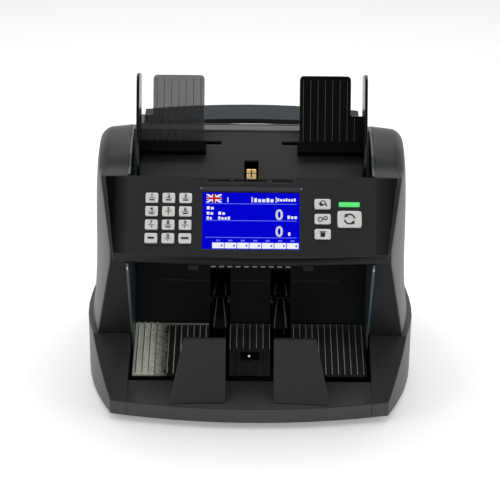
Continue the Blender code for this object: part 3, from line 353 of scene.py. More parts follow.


# Spark-eroded ABS: a satin black that greys where light grazes it. Some are lighter or darker copies,
# painted light and painted shade on faces that look one way.
BODY_ABS = MouldedPlastic("charcoal_abs", "#2E2E2E", "#333333", 0.4, ior=1.4)
# Painted light: a lighter copy for the base's front band.
TUB_FRONT_LIGHT = MouldedPlastic("tub_front_painted_light", "#3C3C3C", "#424242", 0.45)
# Painted light: a lighter copy for the base's upward ledge, which lies in the shade of the stoppers and
# the panel.
TUB_TOP_LIGHT = MouldedPlastic("tub_top_painted_light", "#2B2B2B", "#303030", 0.45)
PANEL_ABS = MouldedPlastic("panel_abs", "#1E1E1F", "#222223", 0.5, grain_mm=0.7)
STOPPER_ABS = MouldedPlastic("stopper_abs", "#232323", "#272727", 0.6, grain_mm=0.7)
BEZEL_GREY = MouldedPlastic("bezel_grey", "#3C3C42", "#45454B", 0.4)
# Painted highlight: a lighter copy for the hopper plate's upward top ledge.
HOPPER_TOP_HIGHLIGHT = MouldedPlastic("hopper_top_painted_highlight", "#343434", "#3B3B3A", 0.45)
HOPPER_ABS = MouldedPlastic("hopper_abs", "#2B2B2A", "#313130", 0.42)
# Painted shade: a darker, duller copy for the covers' facets that look forward and down.
COVER_FACET_SHADE = MouldedPlastic("cover_facet_painted_shade", "#121213", "#171718", 0.42, ior=1.3)
# Painted light: an opaque bluish grey for the handle's faces that look forward, lighter than its clear
# smoke.
HANDLE_FRONT_LIGHT = MouldedPlastic("handle_front_painted_light", "#4B515C", "#525864", 0.4, grain_depth=0.02)

# ABS from a polished mould: deep black with small, sharp highlights. Three of these blacks also serve as
# painted shade.
# Painted shade: a near-black copy of the panel's plastic, for the faces of its lip that look forward and
# down.
PANEL_LIP_SHADE = MouldedPlastic("panel_lip_painted_shade", "#060607", "#0A0A0B", 0.3, grain_depth=0.02, ior=1.35)
BLACK_GLOSS = MouldedPlastic("black_gloss_abs", "#09090A", "#0D0D0E", 0.24, grain_depth=0.02, ior=1.38)
# Near black for dark joints, such as the base's seams and the head's slits, and for painted shade over
# slots, recesses and parts deep in the pocket.
SHADE_AND_JOINT_BLACK = MouldedPlastic("black_painted_shade_and_joints", "#030304", "#060607", 0.4, grain_depth=0.04, ior=1.35)
# Painted shade: near black with hardly any reflection, for the guides' feet.
GUIDE_FOOT_SHADE = MouldedPlastic("guide_foot_painted_shade", "#030304", "#050506", 0.6, grain_depth=0.02, ior=1.15)
TRAY_GLOSS = MouldedPlastic("tray_gloss_abs", "#3E3E3F", "#474748", 0.2, grain_depth=0.03)

# Painted light along X: a painted reflection on the left tray, painted shade on the panel's ends, and
# painted rib lines.
# A painted reflection on the left tray: pale and glowing a little at its outer end, dark towards the
# middle, with flecks where they meet.
TRAY_PAINTED_REFLECTION = PaintedFade(
    "tray_painted_reflection", "#F4F4E8", "#2C2C2D", -86 * MM, -64 * MM, fleck_mm=3.2, fleck=0.6, glow=0.1
)
# Painted shade on the panel's ends: each darkens from the panel's tone to near black towards its outer
# edge, and loses its shine there.
PANEL_LEFT_END_SHADE = PaintedFade(
    "panel_left_end_painted_shade", "#202021", "#050506", -102 * MM, -114 * MM, roughness=0.5, end_gloss=0.06
)
PANEL_RIGHT_END_SHADE = PaintedFade(
    "panel_right_end_painted_shade", "#1B1B1C", "#0A0A0B", 102 * MM, 116 * MM, roughness=0.5, end_gloss=0.2
)
# Rib lines on the left tray: painted shade against its painted reflection, turning to painted highlight
# further in.
RIB_SHADE_TO_HIGHLIGHT = PaintedFade("rib_painted_shade_to_highlight", "#3A3A37", "#DCDCD6", -84 * MM, -66 * MM, roughness=0.3)

# Strips of flat colour along ribs: the light ones are painted highlights on the rib edges, and the dark
# grey ones mark the ribs of the clear guide and the feed gap's teeth.
# Painted highlight: light grey strips and rings, on the bezel studs and the stacker fingers.
EDGE_HIGHLIGHT = MouldedPlastic("edge_painted_highlight", "#7C7C78", "#8E8E89", 0.25, grain_depth=0.0)
# Painted highlight: grey lines along the ribs of the black guide.
GUIDE_RIB_HIGHLIGHT = MouldedPlastic("guide_rib_painted_highlight", "#565654", "#62625F", 0.3, grain_depth=0.0)
RIB_DARK = MouldedPlastic("rib_dark_abs", "#46494C", "#505458", 0.3, grain_depth=0.0)
# Painted highlight: pale strips along the ribs of the other trays.
TRAY_RIB_HIGHLIGHT = MouldedPlastic("tray_rib_painted_highlight", "#D4D4CE", "#E4E4DE", 0.3, grain_depth=0.0)

# PBT key caps and their ink: a soft white with flat black print.
KEY_PBT = MouldedPlastic("key_pbt", "#F2F2EF", "#F8F8F5", 0.42, grain_mm=0.5, grain_depth=0.03)
LEGEND_INK = MouldedPlastic("legend_ink", "#19191B", "#202022", 0.6, grain_depth=0.02)

# Nitrile rubber is dull and dark, coated steel slate blue, and a printed board a waxy green.
RUBBER = MouldedPlastic("nitrile_rubber", "#141414", "#1B1B1B", 0.78, grain_mm=0.6, grain_depth=0.2)
FRAME_COAT = MouldedPlastic(
    "slate_coated_steel", "#39464B", "#404E53", 0.3, grain_mm=1.4, grain_depth=0.06
)
BOARD = MouldedPlastic("printed_board", "#0D3F22", "#13502C", 0.4, grain_mm=2.5, grain_depth=0.05)

# Cast acrylic: the guide shows what is behind it, and the handle is nearly closed.
SMOKE = SmokeAcrylic("smoke_acrylic", "#7A7B79", roughness=0.05, clear=0.84)
HANDLE_SMOKE = SmokeAcrylic("handle_smoke", "#252C37", roughness=0.22, clear=0.2, ior=1.26)

# Rolled steel is grey and streaked, and turned brass shines warm; the brass also glows a little, a
# painted highlight.
STEEL = Metal("rolled_steel", "#A9A9A6", 0.34)
BRASS = Metal("turned_brass", "#EBC88A", 0.2, glow=0.5)

# Glowing layers: even colour, with hardly any shine from the room. The screen and the lamp are lit; the
# sensor windows and the white glints are painted highlights.
SCREEN_BLUE = Glow("screen_blue", "#0000D8", 0.9)
SCREEN_LINE = Glow("screen_line", "#6F7DFF", 0.9)
SCREEN_WHITE = Glow("screen_white", "#F4F4FF", 0.95)
SCREEN_DIGIT = Glow("screen_digit", "#DADAD8", 0.9)
SCREEN_RED = Glow("screen_red", "#C81E2C", 0.8)
LAMP_GREEN = Glow("lamp_green", "#63F07F", 0.95)
# Painted highlight: the sensor windows glow pale grey.
SENSOR_GLINT = Glow("sensor_painted_glint", "#B9BCC4", 0.32)
# Painted glint: small white shapes that glow.
GLINT_WHITE = Glow("painted_glint_white", "#E8ECEC", 0.7)

Finish = MouldedPlastic | SmokeAcrylic | Metal | PaintedFade | Glow


@dataclass
class Shop:
    """Makes pieces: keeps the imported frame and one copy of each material."""

    frame: dict
    made: dict

    def finish(self, finish: Finish) -> bpy.types.Material:
        """The material of a finish, built once.

        Args:
            finish: the finish to build.

        Returns:
            Its material.
        """
        if finish.name not in self.made:
            self.made[finish.name] = finish.material()
        return self.made[finish.name]

    def paint(self, finish: Finish, *nodes: str) -> None:
        """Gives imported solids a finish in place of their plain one.

        Args:
            finish: the finish to use.
            nodes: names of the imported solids.
        """
        for node in nodes:
            slots = self.frame["nodes"][node].data.materials
            slots.clear()
            slots.append(self.finish(finish))
            LOG.info("%s takes %s", node, finish.name)

    def piece(
        self,
        name: str,
        mesh: bpy.types.Mesh,
        finish: Finish,
        body: str,
        stands_for: tuple[str, ...] = (),
    ) -> bpy.types.Object:
        """Puts a mesh in the scene as a piece that rides on a body.

        Args:
            name: the piece's name.
            mesh: its mesh, in world place.
            finish: its finish.
            body: the body it moves with.
            stands_for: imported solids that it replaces.

        Returns:
            The new object.
        """
        mesh.materials.clear()
        mesh.materials.append(self.finish(finish))
        made = bpy.data.objects.new(name, mesh)
        bpy.context.scene.collection.objects.link(made)
        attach(made, body)
        if stands_for:
            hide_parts(*stands_for)
        LOG.info("%s rides on %s", name, body)
        return made

    def boxes(self, name: str, rows: list | np.ndarray, place: Plane | None, finish: Finish) -> None:
        """Adds a piece of many boxes, which rides on the fixed body.

        Args:
            name: the piece's name.
            rows: each box's low corner and high corner, six numbers in millimetres.
            place: the sloping plane that they are measured in.
            finish: its finish.
        """
        corners = np.reshape(rows, (-1, 2, 3)) * MM
        self.piece(name, plates(name, corners[:, 0], corners[:, 1], place), finish, Body.BODY)

    def softened(
        self, node: str, finish: Finish, body: str, width: float, segments: int = 3
    ) -> bpy.types.Object:
        """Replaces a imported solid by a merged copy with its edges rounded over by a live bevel.

        Args:
            node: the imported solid.
            finish: the finish of the copy.
            body: the body it moves with.
            width: the width of the rounding in metres.
            segments: the steps of the rounding.

        Returns:
            The new object.
        """
        mesh = self.frame["nodes"][node].data.copy()
        shape = bmesh.new()
        shape.from_mesh(mesh)
        bmesh.ops.remove_doubles(shape, verts=shape.verts, dist=SOLID_MERGE)
        flat = math.radians(FLAT_DEGREES)
        bmesh.ops.dissolve_limit(shape, angle_limit=flat, verts=shape.verts, edges=shape.edges)
        shape.to_mesh(mesh)
        shape.free()
        smooth_shade(mesh, SOLID_DEGREES)
        made = self.piece(f"{node}_dressed", mesh, finish, body, (node,))
        bevel = made.modifiers.new("edge", "BEVEL")
        bevel.width = width
        bevel.segments = segments
        bevel.limit_method = "ANGLE"
        bevel.angle_limit = math.radians(EDGE_DEGREES)
        bevel.harden_normals = True
        bevel.use_clamp_overlap = False
        return made

    def accent(
        self, made: bpy.types.Object, finish: Finish, facing: tuple[float, float, float], share: float
    ) -> None:
        """Gives the faces of a piece that look one way a second finish.

        Args:
            made: the piece.
            finish: the finish of those faces.
            facing: the way they look, of unit length.
            share: the least cosine between a face's way and that one.
        """
        made.data.materials.append(self.finish(finish))
        for face in made.data.polygons:
            if face.normal.dot(Vector(facing)) > share:
                face.material_index = len(made.data.materials) - 1


def smooth_shade(mesh: bpy.types.Mesh, degrees: float) -> None:
    """Shades a mesh smooth, with edges sharper than an angle kept crisp.

    Args:
        mesh: the mesh to shade.
        degrees: the angle between faces above which an edge stays crisp.
    """
    shape = bmesh.new()
    shape.from_mesh(mesh)
    for face in shape.faces:
        face.smooth = True
    limit = math.radians(degrees)
    for edge in shape.edges:
        edge.smooth = len(edge.link_faces) == 2 and edge.calc_face_angle(0.0) < limit
    shape.to_mesh(mesh)
    shape.free()


def grid_faces(rows: int, columns: int, wrap: bool = False) -> np.ndarray:
    """Quads over a grid of points: each joins a point to its next in the row and in the column.

    Args:
        rows: the count of rows.
        columns: the count of points in a row.
        wrap: whether each row closes on itself.

    Returns:
        Point indices, four to a face.
    """
    across = np.arange(columns if wrap else columns - 1)
    i, j = np.meshgrid(np.arange(rows - 1), across, indexing="ij")
    after = (j + 1) % columns
    quads = [i * columns + j, i * columns + after, (i + 1) * columns + after, (i + 1) * columns + j]
    return np.stack(quads, axis=-1).reshape(-1, 4)


def surface(
    name: str, points: np.ndarray, faces: np.ndarray | list, degrees: float = EDGE_DEGREES
) -> bpy.types.Mesh:
    """Makes a mesh from points and faces, merged, facing out and smooth.

    Args:
        name: the mesh's name.
        points: point places, any leading shape.
        faces: point indices of each face.
        degrees: the angle above which an edge stays crisp.

    Returns:
        The mesh.
    """
    mesh = bpy.data.meshes.new(name)
    mesh.from_pydata(points.reshape(-1, 3).tolist(), [], [list(face) for face in faces])
    shape = bmesh.new()
    shape.from_mesh(mesh)
    bmesh.ops.remove_doubles(shape, verts=shape.verts, dist=MERGE)
    bmesh.ops.recalc_face_normals(shape, faces=shape.faces)
    shape.to_mesh(mesh)
    shape.free()
    smooth_shade(mesh, degrees)
    return mesh


def filleted(corners: np.ndarray, radius: float | np.ndarray, steps: int = 6) -> np.ndarray:
    """Rounds an outline's corners: each becomes a quadratic curve between points set back on its sides.

    Args:
        corners: the outline's corners in order.
        radius: how far back each curve starts.
        steps: points on each curve.

    Returns:
        The rounded outline.
    """
    corners = np.asarray(corners, dtype=float)
    back = np.broadcast_to(radius, len(corners))[:, None]
    before = np.roll(corners, 1, axis=0) - corners
    after = np.roll(corners, -1, axis=0) - corners
    start = corners + before / np.linalg.norm(before, axis=1, keepdims=True) * back
    stop = corners + after / np.linalg.norm(after, axis=1, keepdims=True) * back
    share = np.linspace(0, 1, steps)[None, :, None]
    ends = (1 - share) ** 2 * start[:, None] + share**2 * stop[:, None]
    return (ends + 2 * share * (1 - share) * corners[:, None]).reshape(-1, 2)


def slab(
    name: str,
    outline: np.ndarray,
    low: float,
    high: float,
    edge: float,
    out: Callable[[np.ndarray], np.ndarray],
) -> bpy.types.Mesh:
    """A plate with rounded edges: rings of an outline, drawn in along its normals as they near each face.

    Args:
        name: the mesh's name.
        outline: the plate's outline in its own plane.
        low: the height of its lower face.
        high: the height of its upper face.
        edge: the radius of its edges.
        out: takes local places to world places.

    Returns:
        The closed mesh.
    """
    ahead = np.roll(outline, -1, axis=0) - np.roll(outline, 1, axis=0)
    after = np.roll(outline, -1, axis=0)
    area = np.sum(outline[:, 0] * after[:, 1] - outline[:, 1] * after[:, 0])
    inward = np.stack([-ahead[:, 1], ahead[:, 0]], axis=1) * np.sign(area)
    inward = inward / np.linalg.norm(inward, axis=1, keepdims=True)
    arc = np.linspace(0, math.pi / 2, 4)
    inset = edge * (1 - np.sin(np.concatenate([arc, arc[::-1]])))
    climb = edge * (1 - np.cos(arc))
    height = np.concatenate([low + climb, high - climb[::-1]])
    flat = outline[None] + inward[None] * inset[:, None, None]
    points = np.concatenate([flat, np.broadcast_to(height[:, None, None], (*flat.shape[:2], 1))], axis=-1)
    rings, count = flat.shape[:2]
    faces = grid_faces(rings, count, wrap=True).tolist()
    faces += [list(range(count))[::-1], list(range((rings - 1) * count, rings * count))]
    mesh = surface(name, out(points), faces)
    for face in mesh.polygons:
        face.use_smooth = len(face.vertices) == 4
    return mesh


def sideways(points: np.ndarray) -> np.ndarray:
    """Takes local (y, z, x) places of a plate that stands on edge to world places."""
    return points[..., [2, 0, 1]]


def joined(name: str, meshes: list[bpy.types.Mesh]) -> bpy.types.Mesh:
    """Joins meshes to one.

    Args:
        name: the new mesh's name.
        meshes: the meshes, in world place.

    Returns:
        The joined mesh.
    """
    shape = bmesh.new()
    for mesh in meshes:
        shape.from_mesh(mesh)
    whole = bpy.data.meshes.new(name)
    shape.to_mesh(whole)
    shape.free()
    return whole


def capped_tube(rings: int) -> list[list[int]]:
    """The faces of a tube of four-sided rings with both ends closed.

    Args:
        rings: how many rings it has.

    Returns:
        Point indices of each face.
    """
    last = 4 * (rings - 1)
    caps = [[0, 1, 2, 3], [last, last + 3, last + 2, last + 1]]
    return grid_faces(rings, 4, wrap=True).tolist() + caps


def ring_band(
    name: str,
    at: tuple[float, float],
    radius: float,
    half: float,
    span: tuple[float, float],
    out: Callable[[np.ndarray], np.ndarray],
) -> bpy.types.Mesh:
    """A flat ring on a plane, as a band of squares swept round a circle.

    Args:
        name: the mesh's name.
        at: the ring's middle on the plane.
        radius: the ring's radius.
        half: half the width of its line.
        span: the low and the high height of the band.
        out: takes local places to world places.

    Returns:
        The closed mesh.
    """
    turns = np.linspace(0, math.tau, RING_STEPS)
    rims = np.array([radius - half, radius + half, radius + half, radius - half])
    heights = np.array([span[0], span[0], span[1], span[1]])
    x = at[0] + np.cos(turns)[:, None] * rims
    y = at[1] + np.sin(turns)[:, None] * rims
    points = out(np.stack([x, y, np.broadcast_to(heights, x.shape)], axis=-1))
    return surface(name, points, grid_faces(RING_STEPS, 4, wrap=True), ROUND_DEGREES)


# The six sides of a box whose corners are counted with Z fastest, then Y, then X.
BOX_FACES = np.array([[0, 2, 3, 1], [4, 5, 7, 6], [0, 1, 5, 4], [2, 6, 7, 3], [0, 4, 6, 2], [1, 3, 7, 5]])


def plates(name: str, lows: np.ndarray, highs: np.ndarray, place: Plane | None = None) -> bpy.types.Mesh:
    """Makes many boxes in one mesh: each corner takes the low or the high value on each axis.

    Args:
        name: the mesh's name.
        lows: the low corner of each box.
        highs: the high corner of each box.
        place: the sloping plane that the boxes are measured in.

    Returns:
        The mesh.
    """
    lows, highs = np.atleast_2d(lows), np.atleast_2d(highs)
    picks = np.stack(np.meshgrid([0, 1], [0, 1], [0, 1], indexing="ij"), axis=-1).reshape(-1, 3)
    points = lows[:, None, :] + picks[None, :, :] * (highs - lows)[:, None, :]
    faces = (np.arange(len(lows)) * 8)[:, None, None] + BOX_FACES[None, :, :]
    if place is not None:
        points = place.out(points)
    return surface(name, points, faces.reshape(-1, 4))


@dataclass(frozen=True)
class Plane:
    """A plane that rises to the rear: local x across, y up the slope, z out of its face."""

    y: float
    z: float
    angle: float

    def out(self, points: np.ndarray) -> np.ndarray:
        """Turns local points about X by the plane's angle and moves them to its foot.

        Args:
            points: local places, last axis x, y, z.

        Returns:
            World places.
        """
        x, y, z = np.moveaxis(np.asarray(points, dtype=float), -1, 0)
        cos, sin = math.cos(self.angle), math.sin(self.angle)
        return np.stack([x, self.y + y * cos - z * sin, self.z + y * sin + z * cos], axis=-1)

    def matrix(self) -> Matrix:
        """The plane as a matrix."""
        return Matrix.Translation((0, self.y, self.z)) @ Matrix.Rotation(self.angle, 4, "X")


PANEL = Plane(-104 * MM, 146 * MM, math.radians(52.3))
HOPPER = Plane(-47 * MM, 188 * MM, math.radians(45.8))
GUIDE_UP = 28.5 * MM
GUIDE = Plane(*HOPPER.out(np.array([0, GUIDE_UP, 0.5 * MM]))[1:].tolist(), math.radians(70))
TRAY = Plane(-95 * MM, 31 * MM, math.atan2(23, 55))
POCKET_BACK = Plane(-39.4 * MM, 54.6 * MM, math.radians(72))
JAMB = Plane(-98.8 * MM, 130.8 * MM, math.radians(111.7))
REAR_SLOPE = Plane(62 * MM, 197.5 * MM, math.atan2(-29.5, 43.6))
ROCKER = Plane(126.6 * MM, 86 * MM, math.radians(-7))


def on_rocker(points: np.ndarray) -> np.ndarray:
    """Takes local (x, z, y) places on the rocker's face to world places."""
    return ROCKER.out(points[..., [0, 2, 1]])


def lettering(
    name: str, words: str, size: float, depth: float, place: Matrix, swell: float = 0.1 * MM
) -> bpy.types.Mesh:
    """Makes raised figures as a mesh, centred on a place.

    Args:
        name: the mesh's name.
        words: the figures.
        size: their height in metres.
        depth: how far they stand up.
        place: where their middle lies.
        swell: how much their strokes are fattened.

    Returns:
        The mesh in world place.
    """
    curve = bpy.data.curves.new(name, "FONT")
    curve.body = words
    curve.size = size / CAPITAL_SHARE
    curve.extrude = depth / 2
    curve.offset = swell
    curve.align_x = "CENTER"
    curve.align_y = "CENTER"
    drawn = bpy.data.objects.new(name, curve)
    bpy.context.scene.collection.objects.link(drawn)
    graph = bpy.context.evaluated_depsgraph_get()
    mesh = bpy.data.meshes.new_from_object(drawn.evaluated_get(graph))
    bpy.data.objects.remove(drawn)
    mesh.transform(place)
    shape = bmesh.new()
    shape.from_mesh(mesh)
    bmesh.ops.remove_doubles(shape, verts=shape.verts, dist=PRINT_MERGE)
    bmesh.ops.recalc_face_normals(shape, faces=shape.faces)
    shape.to_mesh(mesh)
    shape.free()
    return mesh


def smooth_curve(points: np.ndarray, steps: int) -> np.ndarray:
    """A Catmull-Rom curve through points: each span is a cubic whose ends lean along their neighbours.

    Args:
        points: places to pass through.
        steps: samples in each span.

    Returns:
        Places along the curve.
    """
    ends = np.vstack([2 * points[0] - points[1], points, 2 * points[-1] - points[-2]])
    share = np.linspace(0, 1, steps, endpoint=False)[None, :, None]
    before, start, stop, after = (ends[k : len(ends) - 3 + k][:, None, :] for k in range(4))
    bend = 2 * before - 5 * start + 4 * stop - after
    twist = 3 * start - before - 3 * stop + after
    curve = 0.5 * (2 * start + (stop - before) * share + bend * share**2 + twist * share**3)
    return np.vstack([curve.reshape(-1, points.shape[1]), points[-1:]])


@dataclass
class Casing:
    """The base and the two side covers."""

    shop: Shop
    half_width: float = 145 * MM
    half_depth: float = 132 * MM
    side_radius: float = 247.5 * MM
    rear_radius: float = 720 * MM
    floor: float = 58.4 * MM
    crown: float = 223.5 * MM
    shoulder: float = 192 * MM
    crown_fall: float = 4.5 * MM
    inner: float = 102.9 * MM
    round_radius: float = 8 * MM
    crease_radius: float = 1.2 * MM
    crease_rows: tuple[int, int] = (3, 14)
    wall: float = 2.2 * MM
    crease_y: float = -70 * MM
    knee: tuple[float, float] = (-97.5 * MM, 135.8 * MM)
    panel_back: tuple[float, float] = (3.8 * MM, 68.2 * MM)
    panel_sunk: float = -3.8 * MM
    panel_top: float = 67 * MM
    rear_y: float = 131.4 * MM
    rear_heights: tuple[float, float] = (102 * MM, 80 * MM)
    spine_span: tuple[float, float] = (0.2, 0.8)
    bend_limit: float = 0.25
    bend_steps: int = 8
    fan_steps: int = 12
    hump_steps: int = 9
    tub_edge: float = 0.7 * MM
    foot_edge: float = 0.8 * MM
    facet_way: tuple[float, float, float] = (0.0, -0.942, -0.335)
    ledge_way: tuple[float, float, float] = (0.0, -0.4, 0.917)
    band_way: tuple[float, float, float] = (0.0, -1.0, 0.0)

    def flank(self, y: np.ndarray, z: np.ndarray) -> np.ndarray:
        """Outer X of a cover: the plan's arc less an inset that grows with height, as a cubic in Z.

        Args:
            y: depths.
            z: heights.

        Returns:
            Half widths.
        """
        radius = np.where(y < 0, self.side_radius, self.rear_radius)
        heights, insets = (58, 146, 199, 223.5), (4, 10, 12.6, 16)
        cubic = np.polyfit(heights, insets, 3)
        return self.half_width - y * y / (2 * radius) - np.polyval(cubic, z / MM) * MM

    def profile(self) -> np.ndarray:
        """Side profile of a cover: straight runs up the front, then a smooth curve over the hump.

        The hump's points are shares of the way from the panel's top to the rear and up to the crown.

        Returns:
            Places as (Y, Z) rows.
        """
        low, high = self.panel_back
        behind = PANEL.out(np.array([[0, low, self.panel_sunk], [0, high, self.panel_sunk]]))[:, 1:]
        front = np.array([[self.crease_y, self.floor], self.knee])
        shares = np.array(
            [
                [0.06, 0.147],
                [0.11, 0.49],
                [0.18, 0.816],
                [0.272, 0.987],
                [0.3386, 0.975],
                [0.40, 0.791],
                [0.58, 0.171],
                [0.76, -0.49],
                [0.90, -1.35],
                [0.97, -2.49],
            ]
        )
        top = PANEL.out(np.array([0, self.panel_top, 0]))[1:]
        rise = np.array([self.half_depth - top[0], self.crown - top[1]])
        rear = np.array([[self.rear_y, height] for height in (*self.rear_heights, self.floor)])
        crown = np.vstack([behind[-1:], top + shares * rise, rear])
        return np.vstack([front, behind[:1], smooth_curve(crown, self.hump_steps)])

    def cover_mesh(self, name: str, side: int) -> bpy.types.Mesh:
        """A cover's skin: each profile point runs out to the flank, bends a quarter circle and fans down.

        The fan ends on a spine along the floor. Over the shoulder the skin falls outwards: the fall grows
        with the square of the way out and smoothly with height.

        Args:
            name: the mesh's name.
            side: -1 for the left, 1 for the right.

        Returns:
            The open skin, facing out.
        """
        path = self.profile()
        lengths = np.concatenate([[0], np.cumsum(np.linalg.norm(np.diff(path, axis=0), axis=1))])
        start, stop = self.spine_span
        along = start + (stop - start) * lengths / lengths[-1]
        spine_y = self.crease_y + (self.half_depth - self.crease_y) * along
        spine = np.stack([spine_y, np.full(len(path), self.floor)], axis=1)
        reach = spine - path
        far = np.linalg.norm(reach, axis=1, keepdims=True)
        radii = (self.crease_radius, self.round_radius)
        crisp = np.interp(np.arange(len(path)), self.crease_rows, radii)[:, None]
        radius = np.minimum(crisp, far * self.bend_limit)
        turns = np.linspace(0, math.pi / 2, self.bend_steps)
        down = radius * (1 - np.cos(turns))
        bend = path[:, None, :] + (reach / far)[:, None, :] * down[:, :, None]
        bend_x = self.flank(bend[..., 0], bend[..., 1]) - crisp * (1 - np.sin(turns))
        shares = radius / far + (1 - radius / far) * np.linspace(0, 1, self.fan_steps)[None, 1:]
        fan = path[:, None, :] + reach[:, None, :] * shares[:, :, None]
        fan_x = self.flank(fan[..., 0], fan[..., 1])
        edge = np.concatenate([np.full((len(path), 1), self.inner), bend_x, fan_x], axis=1)
        places = np.concatenate([path[:, None, :], bend, fan], axis=1)
        outward = (edge - self.inner) / (self.flank(places[..., 0], places[..., 1]) - self.inner)
        high = np.clip((places[..., 1] - self.shoulder) / (self.crown - self.shoulder), 0, 1)
        places[..., 1] -= self.crown_fall * outward**2 * high**2 * (3 - 2 * high)
        points = np.concatenate([side * edge[..., None], places], axis=-1)
        faces = grid_faces(*edge.shape)
        facing_out = faces if side > 0 else faces[:, ::-1]
        mesh = bpy.data.meshes.new(name)
        mesh.from_pydata(points.reshape(-1, 3).tolist(), [], facing_out.tolist())
        smooth_shade(mesh, COVER_DEGREES)
        return mesh

    def build(self) -> None:
        """Builds the covers and dresses the base, its feet and the frames."""
        for side, word in ((-1, "left"), (1, "right")):
            node = f"{word}_side_cover"
            skin = self.cover_mesh(node, side)
            cover = self.shop.piece(f"{node}_skin", skin, BODY_ABS, Body.BODY, (node,))
            # The facets that look forward and down take painted shade.
            self.shop.accent(cover, COVER_FACET_SHADE, self.facet_way, share=0.95)
            wall = cover.modifiers.new("wall", "SOLIDIFY")
            wall.thickness = self.wall
            wall.offset = -1
            wall.use_even_offset = True
        tub = self.shop.softened("base_tub", BODY_ABS, Body.BODY, self.tub_edge)
        # The base's upward ledge takes painted light.
        self.shop.accent(tub, TUB_TOP_LIGHT, self.ledge_way, share=0.97)
        # The base's front band takes painted light.
        self.shop.accent(tub, TUB_FRONT_LIGHT, self.band_way, share=0.93)
        seams = [[-103.2, -120.5, 6.5, -102.8, -119.9, 17.5], [102.8, -120.5, 6.5, 103.2, -119.9, 17.5]]
        self.shop.boxes("base_seams", seams, None, SHADE_AND_JOINT_BLACK)
        self.shop.paint(FRAME_COAT, "left_frame", "right_frame")
        for row in ("front", "rear"):
            for word in ("left", "right"):
                self.shop.softened(f"{row}_{word}_foot", RUBBER, Body.BODY, self.foot_edge)


